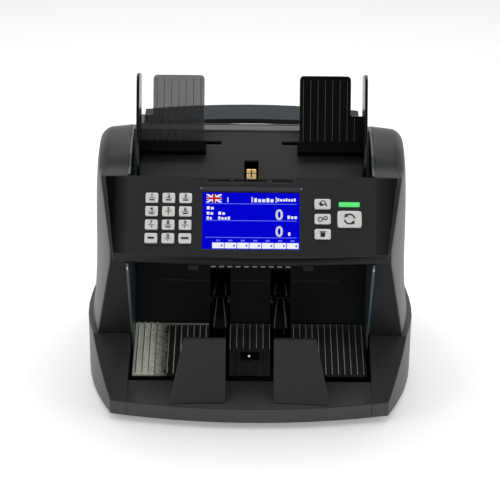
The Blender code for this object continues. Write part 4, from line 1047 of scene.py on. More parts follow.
@dataclass
class ControlPanel:
    """The sloping panel: its screen, keys and lamp."""

    shop: Shop
    screen_face: float = -1.2 * MM
    ink_depth: float = 0.02 * MM
    ink_proud: float = 0.03 * MM
    over_lift: float = 0.02 * MM
    letter_share: float = 0.7
    low_letter: float = 0.78
    flag_middle: tuple[float, float] = (-30.7, 48.2)
    figure_x: float = 23.2 * MM
    figure_heights: tuple[float, float] = (34 * MM, 19.6 * MM)
    figure_size: float = 8.6 * MM
    figure_depth: float = 0.08 * MM
    figure_swell: float = 0.32 * MM
    flag_edge: float = 0.01 * MM
    end_round: float = 1.2 * MM
    end_span: tuple[float, float] = (-0.4 * MM, 0.14 * MM)
    end_edge: float = 0.12 * MM
    stud_at: tuple[float, float] = (41.4 * MM, 56.3 * MM)
    stud_radius: float = 0.5 * MM
    stud_half: float = 0.45 * MM
    stud_span: tuple[float, float] = (0.0, 0.55 * MM)
    bezel_round: float = 0.4 * MM
    bezel_span: tuple[float, float] = (-0.3 * MM, 0.35 * MM)
    bezel_edge: float = 0.2 * MM
    key_proud: float = 1.5 * MM
    key_bottom: float = -6.5 * MM
    key_edge: float = 0.7 * MM
    key_pole: float = 0.05 * MM
    key_dish: float = 0.18 * MM
    key_power: float = 2 / 9
    key_steps: int = 56
    number_key: tuple[float, float] = (10.4 * MM, 8.4 * MM)
    function_key: tuple[float, float] = (13.3 * MM, 8.6 * MM)
    start_key: tuple[float, float] = (19.9 * MM, 14.2 * MM)
    columns: tuple[float, ...] = (-81.9 * MM, -68 * MM, -54.1 * MM)
    row_up: float = 47.7 * MM
    row_pitch: float = 11.55 * MM
    function_x: float = 58.9 * MM
    function_up: float = 43.5 * MM
    function_pitch: float = 12.9 * MM
    start_at: tuple[float, float] = (81 * MM, 30.6 * MM)
    print_span: tuple[float, float] = (1.2 * MM, 1.53 * MM)
    print_edge: float = 0.02 * MM
    label_up: float = 1.7 * MM
    label_size: float = 3.1 * MM
    ring_half: float = 0.32 * MM
    arrow_radius: float = 4.1 * MM
    arrow_half: float = 0.62 * MM
    arrow_head: float = 1.7 * MM
    arrow_neck: float = 0.72
    arrow_sweep: float = 158
    arrow_steps: int = 40

    def key_mesh(self, name: str, size: tuple[float, float], at: tuple[float, float]) -> bpy.types.Mesh:
        """A key cap: rounded-square rings, straight up the skirt, round the edge and into a shallow dish.

        Args:
            name: the mesh's name.
            size: the cap's width and height.
            at: its middle on the panel.

        Returns:
            The closed mesh.
        """
        turns = np.linspace(0, math.tau, self.key_steps, endpoint=False)
        ring_x = np.sign(np.cos(turns)) * np.abs(np.cos(turns)) ** self.key_power
        ring_y = np.sign(np.sin(turns)) * np.abs(np.sin(turns)) ** self.key_power
        skirt = self.key_proud - self.key_edge - self.key_bottom
        pole = size[1] / 2 - self.key_pole
        arc = np.linspace(0, math.pi / 2, 5)[1:]
        rim = self.key_edge * (1 - np.cos(arc))
        dish = np.linspace(rim[-1], pole, 5)[1:]
        inset = np.concatenate([[pole, 0, 0], rim, dish])
        sunk = self.key_proud - self.key_bottom - self.key_dish * (dish / dish[-1])
        height = np.concatenate([[0, 0, skirt], skirt + self.key_edge * np.sin(arc), sunk])
        x = at[0] + ring_x[None, :] * (size[0] / 2 - inset[:, None])
        y = at[1] + ring_y[None, :] * (size[1] / 2 - inset[:, None])
        z = np.broadcast_to(self.key_bottom + height[:, None], x.shape)
        points = PANEL.out(np.stack([x, y, z], axis=-1))
        return surface(name, points, grid_faces(*x.shape, wrap=True), ROUND_DEGREES)

    def marks(self, label: str, at: tuple[float, float]) -> list[np.ndarray]:
        """Outlines of the small marks printed on a key beside or in place of a figure.

        Args:
            label: the key's own name.
            at: the key's middle on the panel.

        Returns:
            Outlines on the panel.
        """
        bar = [[-2.1, -2.6], [2.1, -2.6], [2.1, -1.5], [-2.1, -1.5]]
        rule = [[-2.9, -0.55], [2.9, -0.55], [2.9, -0.3], [-2.9, -0.3]]
        drawn = {
            "5": [rule, [[-0.8, -2.6], [0.8, -2.6], [0.0, -1.2]]],
            "7": [rule, [[0.8, -2.7], [0.8, -1.1], [-0.8, -1.9]]],
            "9": [rule, [[-0.8, -2.7], [0.8, -1.9], [-0.8, -1.1]]],
            "0": [rule, [[-0.8, -1.2], [0.0, -2.6], [0.8, -1.2]]],
            "left": [[[-2.6, -0.8], [2.6, -0.8], [2.6, 0.8], [-2.6, 0.8]]],
            "right": [[[-3.1, -0.8], [3.1, -0.8], [3.1, 0.8], [-3.1, 0.8]]],
            "function_upper": [
                [[-3.4, 0.2], [-1.2, -2.2], [0.6, -1.4], [-1.6, 1.6]],
                [[1.6, 0.2], [2.4, 0.8], [4.0, -1.6], [3.2, -2.2]],
            ],
            "function_middle": [[[0.0, -0.7], [0.5, -1.2], [1.4, 0.2], [0.9, 0.7]]],
            "function_lower": [
                [[-1.7, -2.6], [1.7, -2.6], [2.1, 1.2], [-2.1, 1.2]],
                [[-2.5, 1.6], [2.5, 1.6], [2.5, 2.2], [-2.5, 2.2]],
            ],
        }
        shapes = drawn.get(label, [rule, bar])
        return [np.array(at) + np.array(shape) * MM for shape in shapes]

    def legend(self, label: str, at: tuple[float, float]) -> bpy.types.Mesh:
        """The print on a key's face, a hair above the cap's rim.

        Args:
            label: the key's own name.
            at: the key's middle on the panel.

        Returns:
            The print as a thin mesh.
        """
        name = f"key_{label}_print"
        span = self.print_span
        if label == "start":
            return self.turning_arrows(name, at)
        outlines = self.marks(label, at)
        meshes = [slab(name, shape, *span, self.print_edge, PANEL.out) for shape in outlines]
        if label.isdigit():
            middle = (at[0], at[1] + self.label_up, sum(span) / 2)
            spot = PANEL.matrix() @ Matrix.Translation(middle)
            meshes.append(lettering(name, label, self.label_size, span[1] - span[0], spot))
        rings = {
            "function_upper": [(0.4, 1.0, 1.7)],
            "function_middle": [(-1.9, -0.5, 1.75), (2.3, 0.6, 1.4)],
        }
        for across, up, radius in rings.get(label, []):
            middle = (at[0] + across * MM, at[1] + up * MM)
            meshes.append(ring_band(name, middle, radius * MM, self.ring_half, span, PANEL.out))
        return joined(name, meshes)

    def turning_arrows(self, name: str, at: tuple[float, float]) -> bpy.types.Mesh:
        """Two arc arrows half a turn apart: a ring's arc that swells to a head and ends in a point.

        Args:
            name: the mesh's name.
            at: the key's middle on the panel.

        Returns:
            The closed thin mesh.
        """
        share = np.linspace(0, 1, self.arrow_steps)
        head = self.arrow_head * (1 - share) / (1 - self.arrow_neck)
        half = np.where(share < self.arrow_neck, self.arrow_half, head)
        half = np.maximum(half, self.print_edge)
        inner, outer = self.arrow_radius - half, self.arrow_radius + half
        rims = np.stack([inner, outer, outer, inner])
        heights = np.repeat(self.print_span, 2)
        meshes = []
        for start in (8, 188):
            turn = np.radians(start + share * self.arrow_sweep)
            x = at[0] + rims * np.cos(turn)
            y = at[1] + rims * np.sin(turn)
            z = np.broadcast_to(heights[:, None], x.shape)
            points = PANEL.out(np.stack([x, y, z], axis=-1)).transpose(1, 0, 2)
            meshes.append(surface(name, points, capped_tube(len(share)), ROUND_DEGREES))
        return joined(name, meshes)

    def screen_layer(self, name: str, rows: list | np.ndarray, finish: Glow, lift: float = 0.0) -> None:
        """Adds thin plates of one colour over the window.

        Args:
            name: the piece's name.
            rows: left, low, right and high of each plate, in millimetres.
            finish: their colour.
            lift: how far they stand over the other layers.
        """
        left, low, right, high = np.array(rows, dtype=float).T
        under = np.full(len(left), self.screen_face - self.ink_depth + lift) / MM
        over = np.full(len(left), self.screen_face + self.ink_proud + lift) / MM
        self.shop.boxes(name, np.column_stack([left, low, under, right, high, over]), PANEL, finish)

    def letter_blocks(self, left: float, low: float, right: float, count: int, tall: float) -> np.ndarray:
        """Blocks that stand for the letters of a word: even steps, every third block a little taller.

        Args:
            left: where the word starts, in millimetres.
            low: its foot.
            right: where it ends.
            count: how many blocks it has.
            tall: the height of a tall block.

        Returns:
            Left, low, right and high of each block.
        """
        step = (right - left) / count
        index = np.arange(count)
        starts = left + index * step
        tops = low + tall * np.where(index % 3, self.low_letter, 1.0)
        return np.column_stack([starts, np.full(count, low), starts + self.letter_share * step, tops])

    def flag_corners(self) -> None:
        """The blue parts of the small flag: two triangles, mirrored into each of its quarters."""
        low, high = self.screen_face - self.ink_depth, self.screen_face + self.ink_proud + self.over_lift
        shapes = ([[1.6, 1.9], [4.6, 3.6], [1.6, 3.6]], [[3.2, 1.3], [6.3, 1.3], [6.3, 2.8]])
        corners = []
        for across in (-1, 1):
            for up in (-1, 1):
                for shape in shapes:
                    outline = (np.array(shape) * (across, up) + self.flag_middle) * MM
                    order = outline if across * up > 0 else outline[::-1]
                    corners.append(slab("flag_corner", order, low, high, self.flag_edge, PANEL.out))
        mesh = joined("screen_flag_corners", corners)
        self.shop.piece("screen_flag_corners", mesh, SCREEN_BLUE, Body.BODY)

    def screen(self) -> None:
        """The lit window and what it shows: rules, a small flag, word blocks, figures and boxes."""
        self.shop.softened("screen_window", SCREEN_BLUE, Body.BODY, width=0.3 * MM, segments=2)
        rules = [(-37.5, up, 37.5, up + 0.5) for up in (43.4, 28.9, 14.4)]
        self.screen_layer("screen_rules", rules, SCREEN_LINE)
        self.screen_layer("screen_flag_field", [(-37.0, 44.6, -24.4, 51.8)], SCREEN_WHITE)
        self.flag_corners()
        cross = [(-37.0, 47.3, -24.4, 49.1), (-31.7, 44.6, -29.7, 51.8)]
        self.screen_layer("screen_flag_cross", cross, SCREEN_RED, self.over_lift)
        bars = [(-19.6, 44.9, -18.9, 49.2), (0.3, 44.9, 1.1, 49.6), (20.2, 44.9, 20.9, 49.6)]
        self.screen_layer("screen_bars", bars, SCREEN_WHITE)
        words = (
            (2.4, 45.2, 19.4, 5, 3.4),
            (21.6, 46.0, 37.4, 7, 2.6),
            (-36.5, 38.6, -29.8, 2, 2.6),
            (-36.5, 34.1, -30.4, 2, 2.6),
            (-36.5, 29.9, -31.6, 2, 2.6),
            (-27.0, 34.1, -20.6, 2, 2.6),
            (-27.0, 29.9, -16.6, 4, 2.6),
            (30.0, 31.0, 38.6, 3, 2.8),
            (30.6, 16.6, 33.2, 1, 2.8),
        )
        blocks = np.vstack([self.letter_blocks(*word) for word in words])
        self.screen_layer("screen_words", blocks, SCREEN_WHITE)
        lefts = -31.6 + 10.2 * np.arange(7)
        boxes = [(left, 5.4, left + 9.6, 10.2) for left in lefts]
        self.screen_layer("screen_boxes", boxes, SCREEN_WHITE)
        heads = [(left + 3, 11.4, left + 6.2, 12.6) for left in lefts]
        self.screen_layer("screen_box_heads", heads, SCREEN_LINE)
        marks = [(left + 7, 7.0, left + 8.4, 8.4) for left in lefts]
        self.screen_layer("screen_box_marks", marks, SCREEN_BLUE, self.over_lift)
        for index, up in enumerate(self.figure_heights):
            name = f"screen_figure_{index}"
            spot = PANEL.matrix() @ Matrix.Translation((self.figure_x, up, self.screen_face))
            figure = lettering(name, "0", self.figure_size, self.figure_depth, spot, self.figure_swell)
            self.shop.piece(name, figure, SCREEN_DIGIT, Body.BODY)

    def trims(self) -> None:
        """The panel's ends with their painted shade, the window's upper bezel and its two corner studs.
        """
        facet = np.array([[102.4, -0.2], [112.2, 0.5], [121.0, 66.2], [102.4, 66.2]]) * MM
        # Each end is a thin slab of painted shade.
        for side, word, gloss in ((-1, "left", PANEL_LEFT_END_SHADE), (1, "right", PANEL_RIGHT_END_SHADE)):
            name = f"panel_{word}_end"
            outline = filleted(facet * (side, 1), self.end_round)
            mesh = slab(name, outline, *self.end_span, self.end_edge, PANEL.out)
            self.shop.piece(name, mesh, gloss, Body.BODY)
            name = f"bezel_{word}_stud"
            at = (side * self.stud_at[0], self.stud_at[1])
            stud = ring_band(name, at, self.stud_radius, self.stud_half, self.stud_span, PANEL.out)
            # The studs take the light grey of a painted highlight.
            self.shop.piece(name, stud, EDGE_HIGHLIGHT, Body.BODY)
        corners = np.array([[-40, 54.3], [40, 54.3], [40, 57.4], [-40, 57.4]]) * MM
        strip = filleted(corners, self.bezel_round)
        mesh = slab("screen_bezel", strip, *self.bezel_span, self.bezel_edge, PANEL.out)
        self.shop.piece("screen_bezel", mesh, BEZEL_GREY, Body.BODY)

    def keys(self) -> None:
        """Every key cap with its print."""
        labels = ("1", "2", "3", "4", "5", "6", "7", "8", "9", "left", "0", "right")
        places = []
        for index, label in enumerate(labels):
            row, column = divmod(index, len(self.columns))
            at = (self.columns[column], self.row_up - row * self.row_pitch)
            places.append((label, self.number_key, at))
        for row, label in enumerate(("upper", "middle", "lower")):
            at = (self.function_x, self.function_up - row * self.function_pitch)
            places.append((f"function_{label}", self.function_key, at))
        places.append(("start", self.start_key, self.start_at))
        for label, size, at in places:
            node = f"key_{label}"
            self.shop.piece(f"{node}_cap", self.key_mesh(node, size, at), KEY_PBT, node, (node,))
            self.shop.piece(f"{node}_print", self.legend(label, at), LEGEND_INK, node)

    def build(self) -> None:
        """Dresses the panel and builds what it carries."""
        panel = self.shop.softened("control_panel", PANEL_ABS, Body.BODY, width=0.5 * MM)
        # The lip's faces that look forward and down take painted shade.
        self.shop.accent(panel, PANEL_LIP_SHADE, (0.0, -0.94, -0.34), share=0.85)
        self.trims()
        self.screen()
        self.keys()
        self.shop.softened("status_lamp", LAMP_GREEN, Body.BODY, width=0.6 * MM)
        self.shop.paint(STEEL, "display_module")
        self.shop.paint(BOARD, "keypad_board", "main_board")


@dataclass
class Hopper:
    """The hopper plate, its head, the two note guides and the carry handle."""

    shop: Shop
    plate_inner: float = 40.3 * MM
    plate_outer: float = 83.7 * MM
    plate_low: float = 8.4 * MM
    plate_thick: float = 2.2 * MM
    plate_edge: float = 0.6 * MM
    plate_rounds: tuple[float, ...] = (0.4, 0.4, 0.4, 1.5, 4, 4)
    outer: float = 96 * MM
    tall: float = 64.6 * MM
    join: float = 31 * MM
    fin: float = 2.4 * MM
    fin_edge: float = 0.7 * MM
    fin_over: float = 0.9 * MM
    fin_drop: float = 1.5 * MM
    fin_depth: tuple[float, float] = (28 * MM, 29.5 * MM)
    fin_rounds: tuple[float, ...] = (1, 1, 1, 3, 9, 9, 2)
    foot: float = 7 * MM
    foot_span: tuple[float, float] = (0.5 * MM, 7.5 * MM)
    foot_ends: tuple[float, float] = (1.5 * MM, 0.8 * MM)
    foot_round: float = 0.8 * MM
    ribs: int = 7
    rib_half: float = 0.22 * MM
    rib_span: tuple[float, float] = (1.9 * MM, 2.75 * MM)
    rib_short: tuple[float, float] = (4 * MM, 2 * MM)

    def fin_outline(self) -> np.ndarray:
        """The fin seen from the side: up the slope, up the leaning back edge, and down its front.

        Returns:
            Rounded outline as (Y, Z) rows.
        """
        along = np.array([math.cos(HOPPER.angle), math.sin(HOPPER.angle)])
        upward = np.array([math.cos(GUIDE.angle), math.sin(GUIDE.angle)])
        forward = np.array([-upward[1], upward[0]])
        base = np.array([GUIDE.y, GUIDE.z])
        low = base - along * (GUIDE_UP - self.foot / 2)
        tip = base + upward * (self.tall + self.fin_over)
        top_depth, low_depth = self.fin_depth
        corners = [
            low,
            base + along * self.foot,
            base + along * self.foot + upward * self.foot,
            tip,
            tip + forward * top_depth - upward * self.fin_drop,
            base + forward * low_depth + upward * self.foot,
            low + forward * self.foot,
        ]
        return filleted(np.array(corners), np.array(self.fin_rounds) * MM, 8)

    def guide(self, word: str, side: int, clear: Finish, lines: Finish, body: Body) -> None:
        """One note guide: its stepped back plate, ribs, fin and foot.

        Args:
            word: left or right.
            side: -1 or 1.
            clear: the finish of the plate.
            lines: the finish of the ribs.
            body: the body it slides with.
        """
        shape = [
            [self.plate_inner, self.plate_low],
            [self.outer - self.fin / 2, self.plate_low],
            [self.outer - self.fin / 2, self.join],
            [self.plate_outer, self.join],
            [self.plate_outer, self.tall],
            [self.plate_inner, self.tall],
        ]
        outline = filleted(np.array(shape) * (side, 1), np.array(self.plate_rounds) * MM)
        plate = slab(f"{word}_guide_plate", outline, 0.0, self.plate_thick, self.plate_edge, GUIDE.out)
        self.shop.piece(f"{word}_guide_plate", plate, clear, body, (f"{word}_guide",))
        self.guide_ribs(f"{word}_guide_ribs", side, lines, body)
        faces = sorted((side * (self.outer - self.fin), side * self.outer))
        fin = slab(f"{word}_guide_fin", self.fin_outline(), *faces, self.fin_edge, sideways)
        self.shop.piece(f"{word}_guide_fin", fin, BLACK_GLOSS, body)
        start, stop = self.plate_inner - self.foot_ends[0], self.outer - self.foot_ends[1]
        low, high = GUIDE_UP - self.foot / 2, GUIDE_UP + self.foot
        block = np.array([[start, low], [stop, low], [stop, high], [start, high]]) * (side, 1)
        outline = filleted(block, self.foot_round)
        foot = slab(f"{word}_guide_foot", outline, *self.foot_span, self.fin_edge, HOPPER.out)
        # The foot takes painted shade.
        self.shop.piece(f"{word}_guide_foot", foot, GUIDE_FOOT_SHADE, body)

    def guide_ribs(self, name: str, side: int, lines: Finish, body: Body) -> None:
        """The ribs of a guide's plate, evenly spaced, with a short last one on the plate's step.

        Args:
            name: the piece's name.
            side: -1 or 1.
            lines: their finish.
            body: the body they slide with.
        """
        count = self.ribs + 1
        pitch = (self.plate_outer - self.plate_inner) / self.ribs
        places = side * (self.plate_inner + (np.arange(count) + 0.5) * pitch)
        tops = np.full(count, self.tall - self.rib_short[0])
        tops[-1] = self.join - self.rib_short[1]
        foot, under, over = (np.full(count, place) for place in (self.plate_low, *self.rib_span))
        lows = np.column_stack([places - self.rib_half, foot, under])
        highs = np.column_stack([places + self.rib_half, tops, over])
        self.shop.piece(name, plates(name, lows, highs, GUIDE), lines, body)

    def build(self) -> None:
        """Dresses each piece."""
        plate = self.shop.softened("hopper_plate", HOPPER_ABS, Body.BODY, width=0.6 * MM)
        # The hopper plate's upward top ledge takes a painted highlight.
        self.shop.accent(plate, HOPPER_TOP_HIGHLIGHT, (0.0, 0.0, 1.0), share=0.9)
        # The brass head glows a little: a painted highlight.
        self.shop.softened("magnetic_head", BRASS, Body.BODY, width=0.6 * MM)
        slits = [[-0.5, 4.0, 1.0, 0.5, 11.0, 2.06], [-4.0, 7.4, 1.0, 4.0, 8.0, 2.06]]
        self.shop.boxes("head_slits", slits, HOPPER, SHADE_AND_JOINT_BLACK)
        # A black sheet over the feed slot: painted shade where the slot opens.
        self.shop.boxes("feed_gap", [-45.5, -0.6, -0.2, 45.5, 3.3, 0.1], HOPPER, SHADE_AND_JOINT_BLACK)
        teeth = [
            [-43.0, 1.0, 0.0, -36.0, 2.2, 0.4],
            [-17.5, 1.4, 0.0, -15.3, 2.8, 0.4],
            [13.0, 1.0, 0.0, 17.5, 2.2, 0.4],
            [35.0, 1.2, 0.0, 41.0, 2.4, 0.4],
        ]
        self.shop.boxes("feed_gap_teeth", teeth, HOPPER, RIB_DARK)
        self.guide("left", -1, SMOKE, RIB_DARK, Body.LEFT_GUIDE)
        # The black guide's ribs carry painted highlights.
        self.guide("right", 1, BLACK_GLOSS, GUIDE_RIB_HIGHLIGHT, Body.RIGHT_GUIDE)
        handle = self.shop.softened("carry_handle", HANDLE_SMOKE, Body.HANDLE, width=0.5 * MM)
        # The handle's forward faces take painted light.
        self.shop.accent(handle, HANDLE_FRONT_LIGHT, (0.0, -0.978, -0.208), share=0.9)


@dataclass
class StackerPocket:
    """The front pocket: trays, stoppers, wheels, lens and ceiling."""

    shop: Shop
    tray_rear_mm: float = 58.4
    rib_span_mm: tuple[float, float] = (-0.1, 1.24)
    rear_highlight_mm: tuple[float, ...] = (-78.0, 57.6, -0.1, -36.0, 58.4, 1.24)
    window_pitch_mm: float = 7.3
    window_half_mm: float = 2.1
    glint_at: tuple[float, float] = (-0.6 * MM, 19.4 * MM)
    glint_radius: float = 0.55 * MM
    glint_half: float = 0.5 * MM
    glint_span: tuple[float, float] = (2.3 * MM, 2.65 * MM)
    wheel_middle: tuple[float, float] = (-8 * MM, 62 * MM)
    wheels: tuple[float, float] = (-26.5 * MM, 26.5 * MM)
    hub: float = 13 * MM
    finger: float = 26 * MM
    fingers: int = 8
    finger_sweep: float = math.radians(62)
    finger_half: float = 1.2 * MM
    finger_root: float = 1.6
    finger_taper: float = 0.8
    ridge_shares: tuple[float, float] = (0.12, 0.97)
    ridge_steps: int = 14
    ridge_heights: tuple[float, float] = (-0.1 * MM, 0.45 * MM)
    ridge_start: float = 0.9 * MM
    ridge_spread: float = 4.4 * MM
    ridge_half: float = 0.4 * MM

    def build(self) -> None:
        """Dresses each piece."""
        edges = (
            # The left tray carries a painted reflection.
            ("tray_left_plate", TRAY_PAINTED_REFLECTION, 0.25),
            ("tray_right_plate", TRAY_GLOSS, 0.25),
            ("tray_centre_plate", TRAY_GLOSS, 0.25),
            # The pocket's back plate and exit guide are near black: painted shade deep in the pocket.
            ("tray_back_plate", SHADE_AND_JOINT_BLACK, 0.4),
            ("exit_guide", SHADE_AND_JOINT_BLACK, 0.4),
            ("pocket_sensor", BLACK_GLOSS, 0.25),
        )
        for node, finish, width in edges:
            self.shop.softened(node, finish, Body.BODY, width * MM)
        for word in ("left", "right"):
            self.shop.softened(f"{word}_stopper", STOPPER_ABS, Body.BODY, width=0.9 * MM)
            self.shop.softened(f"stacker_wheel_{word}", BLACK_GLOSS, Body.STACKER, width=0.3 * MM)
        self.rib_highlights()
        self.sensors()
        self.finger_ridges()

    def rib_highlights(self) -> None:
        """Painted highlights along the tray's ribs: a fine strip along each, and one at the left rear. On
        the left tray the strips start dark against its painted reflection.
        """
        trays = (
            ("left", -100.2, -35.5, 12, 1.0, 0.4, RIB_SHADE_TO_HIGHLIGHT),
            ("centre", -20.0, 20.0, 7, 30.0, 0.25, TRAY_RIB_HIGHLIGHT),
            ("right", 35.5, 100.2, 12, 1.0, 0.25, TRAY_RIB_HIGHLIGHT),
        )
        low, high = self.rib_span_mm
        for word, start, stop, count, front, half, finish in trays:
            places = start + (np.arange(count) + 0.5) * (stop - start) / count
            rows = [(x - half, front, low, x + half, self.tray_rear_mm, high) for x in places]
            if word == "left":
                rows.append(self.rear_highlight_mm)
            self.shop.boxes(f"tray_{word}_rib_highlights", rows, TRAY, finish)

    def sensors(self) -> None:
        """Sensor windows glowing as painted highlights at the pocket's top, its brackets and ledges, and
        white painted glints on the lens and the jamb tops.
        """
        half = self.window_half_mm
        middles = np.arange(-4.5, 5.5) * self.window_pitch_mm
        windows = [(x - half, 48.9, 0.0, x + half, 49.9, 0.35) for x in middles]
        # The sensor windows glow as painted highlights.
        self.shop.boxes("sensor_windows", windows, POCKET_BACK, SENSOR_GLINT)
        brackets = [
            [-55, 46.5, 0, -46, 50.5, 3],
            [46, 46.5, 0, 55, 50.5, 3],
            [-78, 37, 0, -36.5, 37.6, 0.5],
            [-17, 37, 0, 17, 37.6, 0.5],
            [36.5, 37, 0, 78, 37.6, 0.5],
        ]
        self.shop.boxes("pocket_brackets", brackets, POCKET_BACK, TRAY_GLOSS)
        sizes = (self.glint_radius, self.glint_half, self.glint_span)
        # A painted glint on the lens.
        spot = ring_band("lens_painted_glint", self.glint_at, *sizes, TRAY.out)
        self.shop.piece("lens_painted_glint", spot, GLINT_WHITE, Body.BODY)
        # Painted glints at the jamb tops, drawn as small glowing pins.
        pins = [[-102.0, -1.6, -0.3, -101.2, 1.2, 0.4], [101.2, -1.6, -0.3, 102.0, 1.2, 0.4]]
        self.shop.boxes("jamb_glints", pins, JAMB, GLINT_WHITE)

    def finger_ridges(self) -> None:
        """Two ridges on each wheel finger: they start together at the hub and part towards the tip."""
        share = np.linspace(*self.ridge_shares, self.ridge_steps)
        radius = self.hub + self.finger * share
        half = self.finger_half / radius * (self.finger_root - self.finger_taper * share)
        faces = capped_tube(self.ridge_steps)
        meshes = []
        for start in np.arange(self.fingers) * math.tau / self.fingers:
            turn = start + self.finger_sweep * share - half
            way = np.stack([np.sin(turn), -np.cos(turn)], axis=1)
            spine = self.wheel_middle + radius[:, None] * np.stack([np.cos(turn), np.sin(turn)], axis=1)
            under, over = (spine + way * height for height in self.ridge_heights)
            for wheel in self.wheels:
                for leg in (-1, 1):
                    x = wheel + leg * (self.ridge_start + self.ridge_spread * share)
                    left, right = x - self.ridge_half, x + self.ridge_half
                    rims = ((left, under), (right, under), (right, over), (left, over))
                    points = np.stack([np.column_stack(rim) for rim in rims], axis=1)
                    meshes.append(surface("finger_ridge", points, faces, ROUND_DEGREES))
        # The ridges take the light grey of a painted highlight.
        self.shop.piece("finger_ridges", joined("finger_ridges", meshes), EDGE_HIGHLIGHT, Body.STACKER)


@dataclass
class RearAndDrive:
    """The rear cover with its inlet and switch, and the drive inside."""

    shop: Shop
    vent_pitch_mm: float = 6.4
    vent_round: float = 1.25 * MM
    vent_span: tuple[float, float] = (-0.3 * MM, 0.08 * MM)
    vent_edge: float = 0.06 * MM
    ring_at: tuple[float, float] = (28 * MM, -3.1 * MM)
    ring_radius: float = 1.2 * MM
    ring_half: float = 0.3 * MM
    wall_y_mm: float = 126.8
    wall_top_mm: float = 132
    wall_draft: float = 4 / 73.7
    wall_way: tuple[float, float, float] = (0.0, 0.9985, 0.054)
    screw_steps: int = 24

    def build(self) -> None:
        """Dresses each piece."""
        self.shop.softened("rear_cover", BODY_ABS, Body.BODY, width=0.25 * MM)
        self.shop.softened("inlet_socket", BLACK_GLOSS, Body.BODY, width=0.5 * MM)
        self.shop.softened("power_switch", BLACK_GLOSS, Body.SWITCH, width=0.8 * MM)
        self.vents()
        self.sockets()
        self.screws()
        self.shop.paint(STEEL, "pickup_shaft", "feed_shaft", "stacker_shaft")
        self.shop.paint(STEEL, "main_motor", "motor_pulley", "power_supply")
        self.shop.paint(RUBBER, "pickup_roller_left", "pickup_roller_right", "feed_roller")
        self.shop.paint(RUBBER, "drive_belt", "pickup_belt")

    def vents(self) -> None:
        """Two banks of cooling slots across the rear slope, each slot a long round-ended outline drawn as
        a thin black plate of painted shade.
        """
        corners = np.array([[-1.3, 9], [1.3, 9], [1.3, 41], [-1.3, 41]]) * MM
        shape = filleted(corners, self.vent_round)
        banks = [np.arange(start, stop, self.vent_pitch_mm) for start, stop in ((-76, -23), (24.8, 77))]
        meshes = []
        for x in np.concatenate(banks) * MM:
            meshes.append(slab("vent", shape + (x, 0.0), *self.vent_span, self.vent_edge, REAR_SLOPE.out))
        self.shop.piece("rear_vents", joined("rear_vents", meshes), SHADE_AND_JOINT_BLACK, Body.BODY)

    def sockets(self) -> None:
        """The inlet's three pins and the marks on the rocker: a bar above and a ring below."""
        pins = [
            [55, 114, 82.5, 57, 128, 86.5],
            [61, 114, 86.5, 63, 128, 90.5],
            [67, 114, 82.5, 69, 128, 86.5],
        ]
        self.shop.boxes("inlet_pins", pins, None, STEEL)
        low, high = np.array([[27.65, 4.3, 1.7], [28.35, 4.58, 4.5]]) * MM
        bar = plates("rocker_bar", low, high, ROCKER)
        sizes = (self.ring_radius, self.ring_half, (low[1], high[1]))
        ring = ring_band("rocker_ring", self.ring_at, *sizes, on_rocker)
        self.shop.piece("rocker_marks", joined("rocker_marks", [bar, ring]), KEY_PBT, Body.SWITCH)

    def screws(self) -> None:
        """Pan-head screws: a dome swept round its axis, with a cross of two black bars in its top,
        painted shade for the recess.
        """
        spots = []
        for x in (-91, 91):
            for z in (72, 118):
                y = self.wall_y_mm + (self.wall_top_mm - z) * self.wall_draft
                spots.append(((x, y, z), self.wall_way))
        for x in (-70, 70):
            for y in (-60, 60):
                spots.append(((x, y, self.tub_floor(x, y)), (0.0, 0.0, -1.0)))
        count = self.screw_steps
        turns = np.linspace(0, math.tau, count, endpoint=False)
        radius = np.array([2.7, 2.7, 2.3, 1.4, 0.05]) * MM
        height = np.array([-0.3, 0.15, 0.6, 0.85, 0.9]) * MM
        flat = radius[:, None, None] * np.stack([np.cos(turns), np.sin(turns)], axis=-1)
        heights = np.broadcast_to(height[:, None, None], (*flat.shape[:2], 1))
        dome = np.concatenate([flat, heights], axis=-1)
        last = (len(radius) - 1) * count
        faces = grid_faces(len(radius), count, wrap=True).tolist()
        faces += [list(range(count))[::-1], list(range(last, last + count))]
        lows = np.array([[-1.5, -0.25, 0.4], [-0.25, -1.5, 0.4]]) * MM
        highs = np.array([[1.5, 0.25, 0.95], [0.25, 1.5, 0.95]]) * MM
        heads, crosses = [], []
        for place, way in spots:
            turn = Vector(way).to_track_quat("Z", "Y").to_matrix().to_4x4()
            stand = Matrix.Translation(Vector(place) * MM) @ turn
            head = surface("screw_head", dome, faces, ROUND_DEGREES)
            cross = plates("screw_cross", lows, highs)
            head.transform(stand)
            cross.transform(stand)
            heads.append(head)
            crosses.append(cross)
        self.shop.piece("screw_heads", joined("screw_heads", heads), STEEL, Body.BODY)
        self.shop.piece("screw_crosses", joined("screw_crosses", crosses), SHADE_AND_JOINT_BLACK, Body.BODY)

    def tub_floor(self, x: float, y: float) -> float:
        """Height of the tub's underside.

        Args:
            x: place across in millimetres.
            y: place in depth in millimetres.

        Returns:
            The height in millimetres.
        """
        tub = self.shop.frame["nodes"]["base_tub"].data
        faces = [tuple(face.vertices) for face in tub.polygons]
        tree = BVHTree.FromPolygons([point.co for point in tub.vertices], faces)
        return tree.ray_cast(Vector((x, y, -100)) * MM, Vector((0, 0, 1)))[0].z / MM


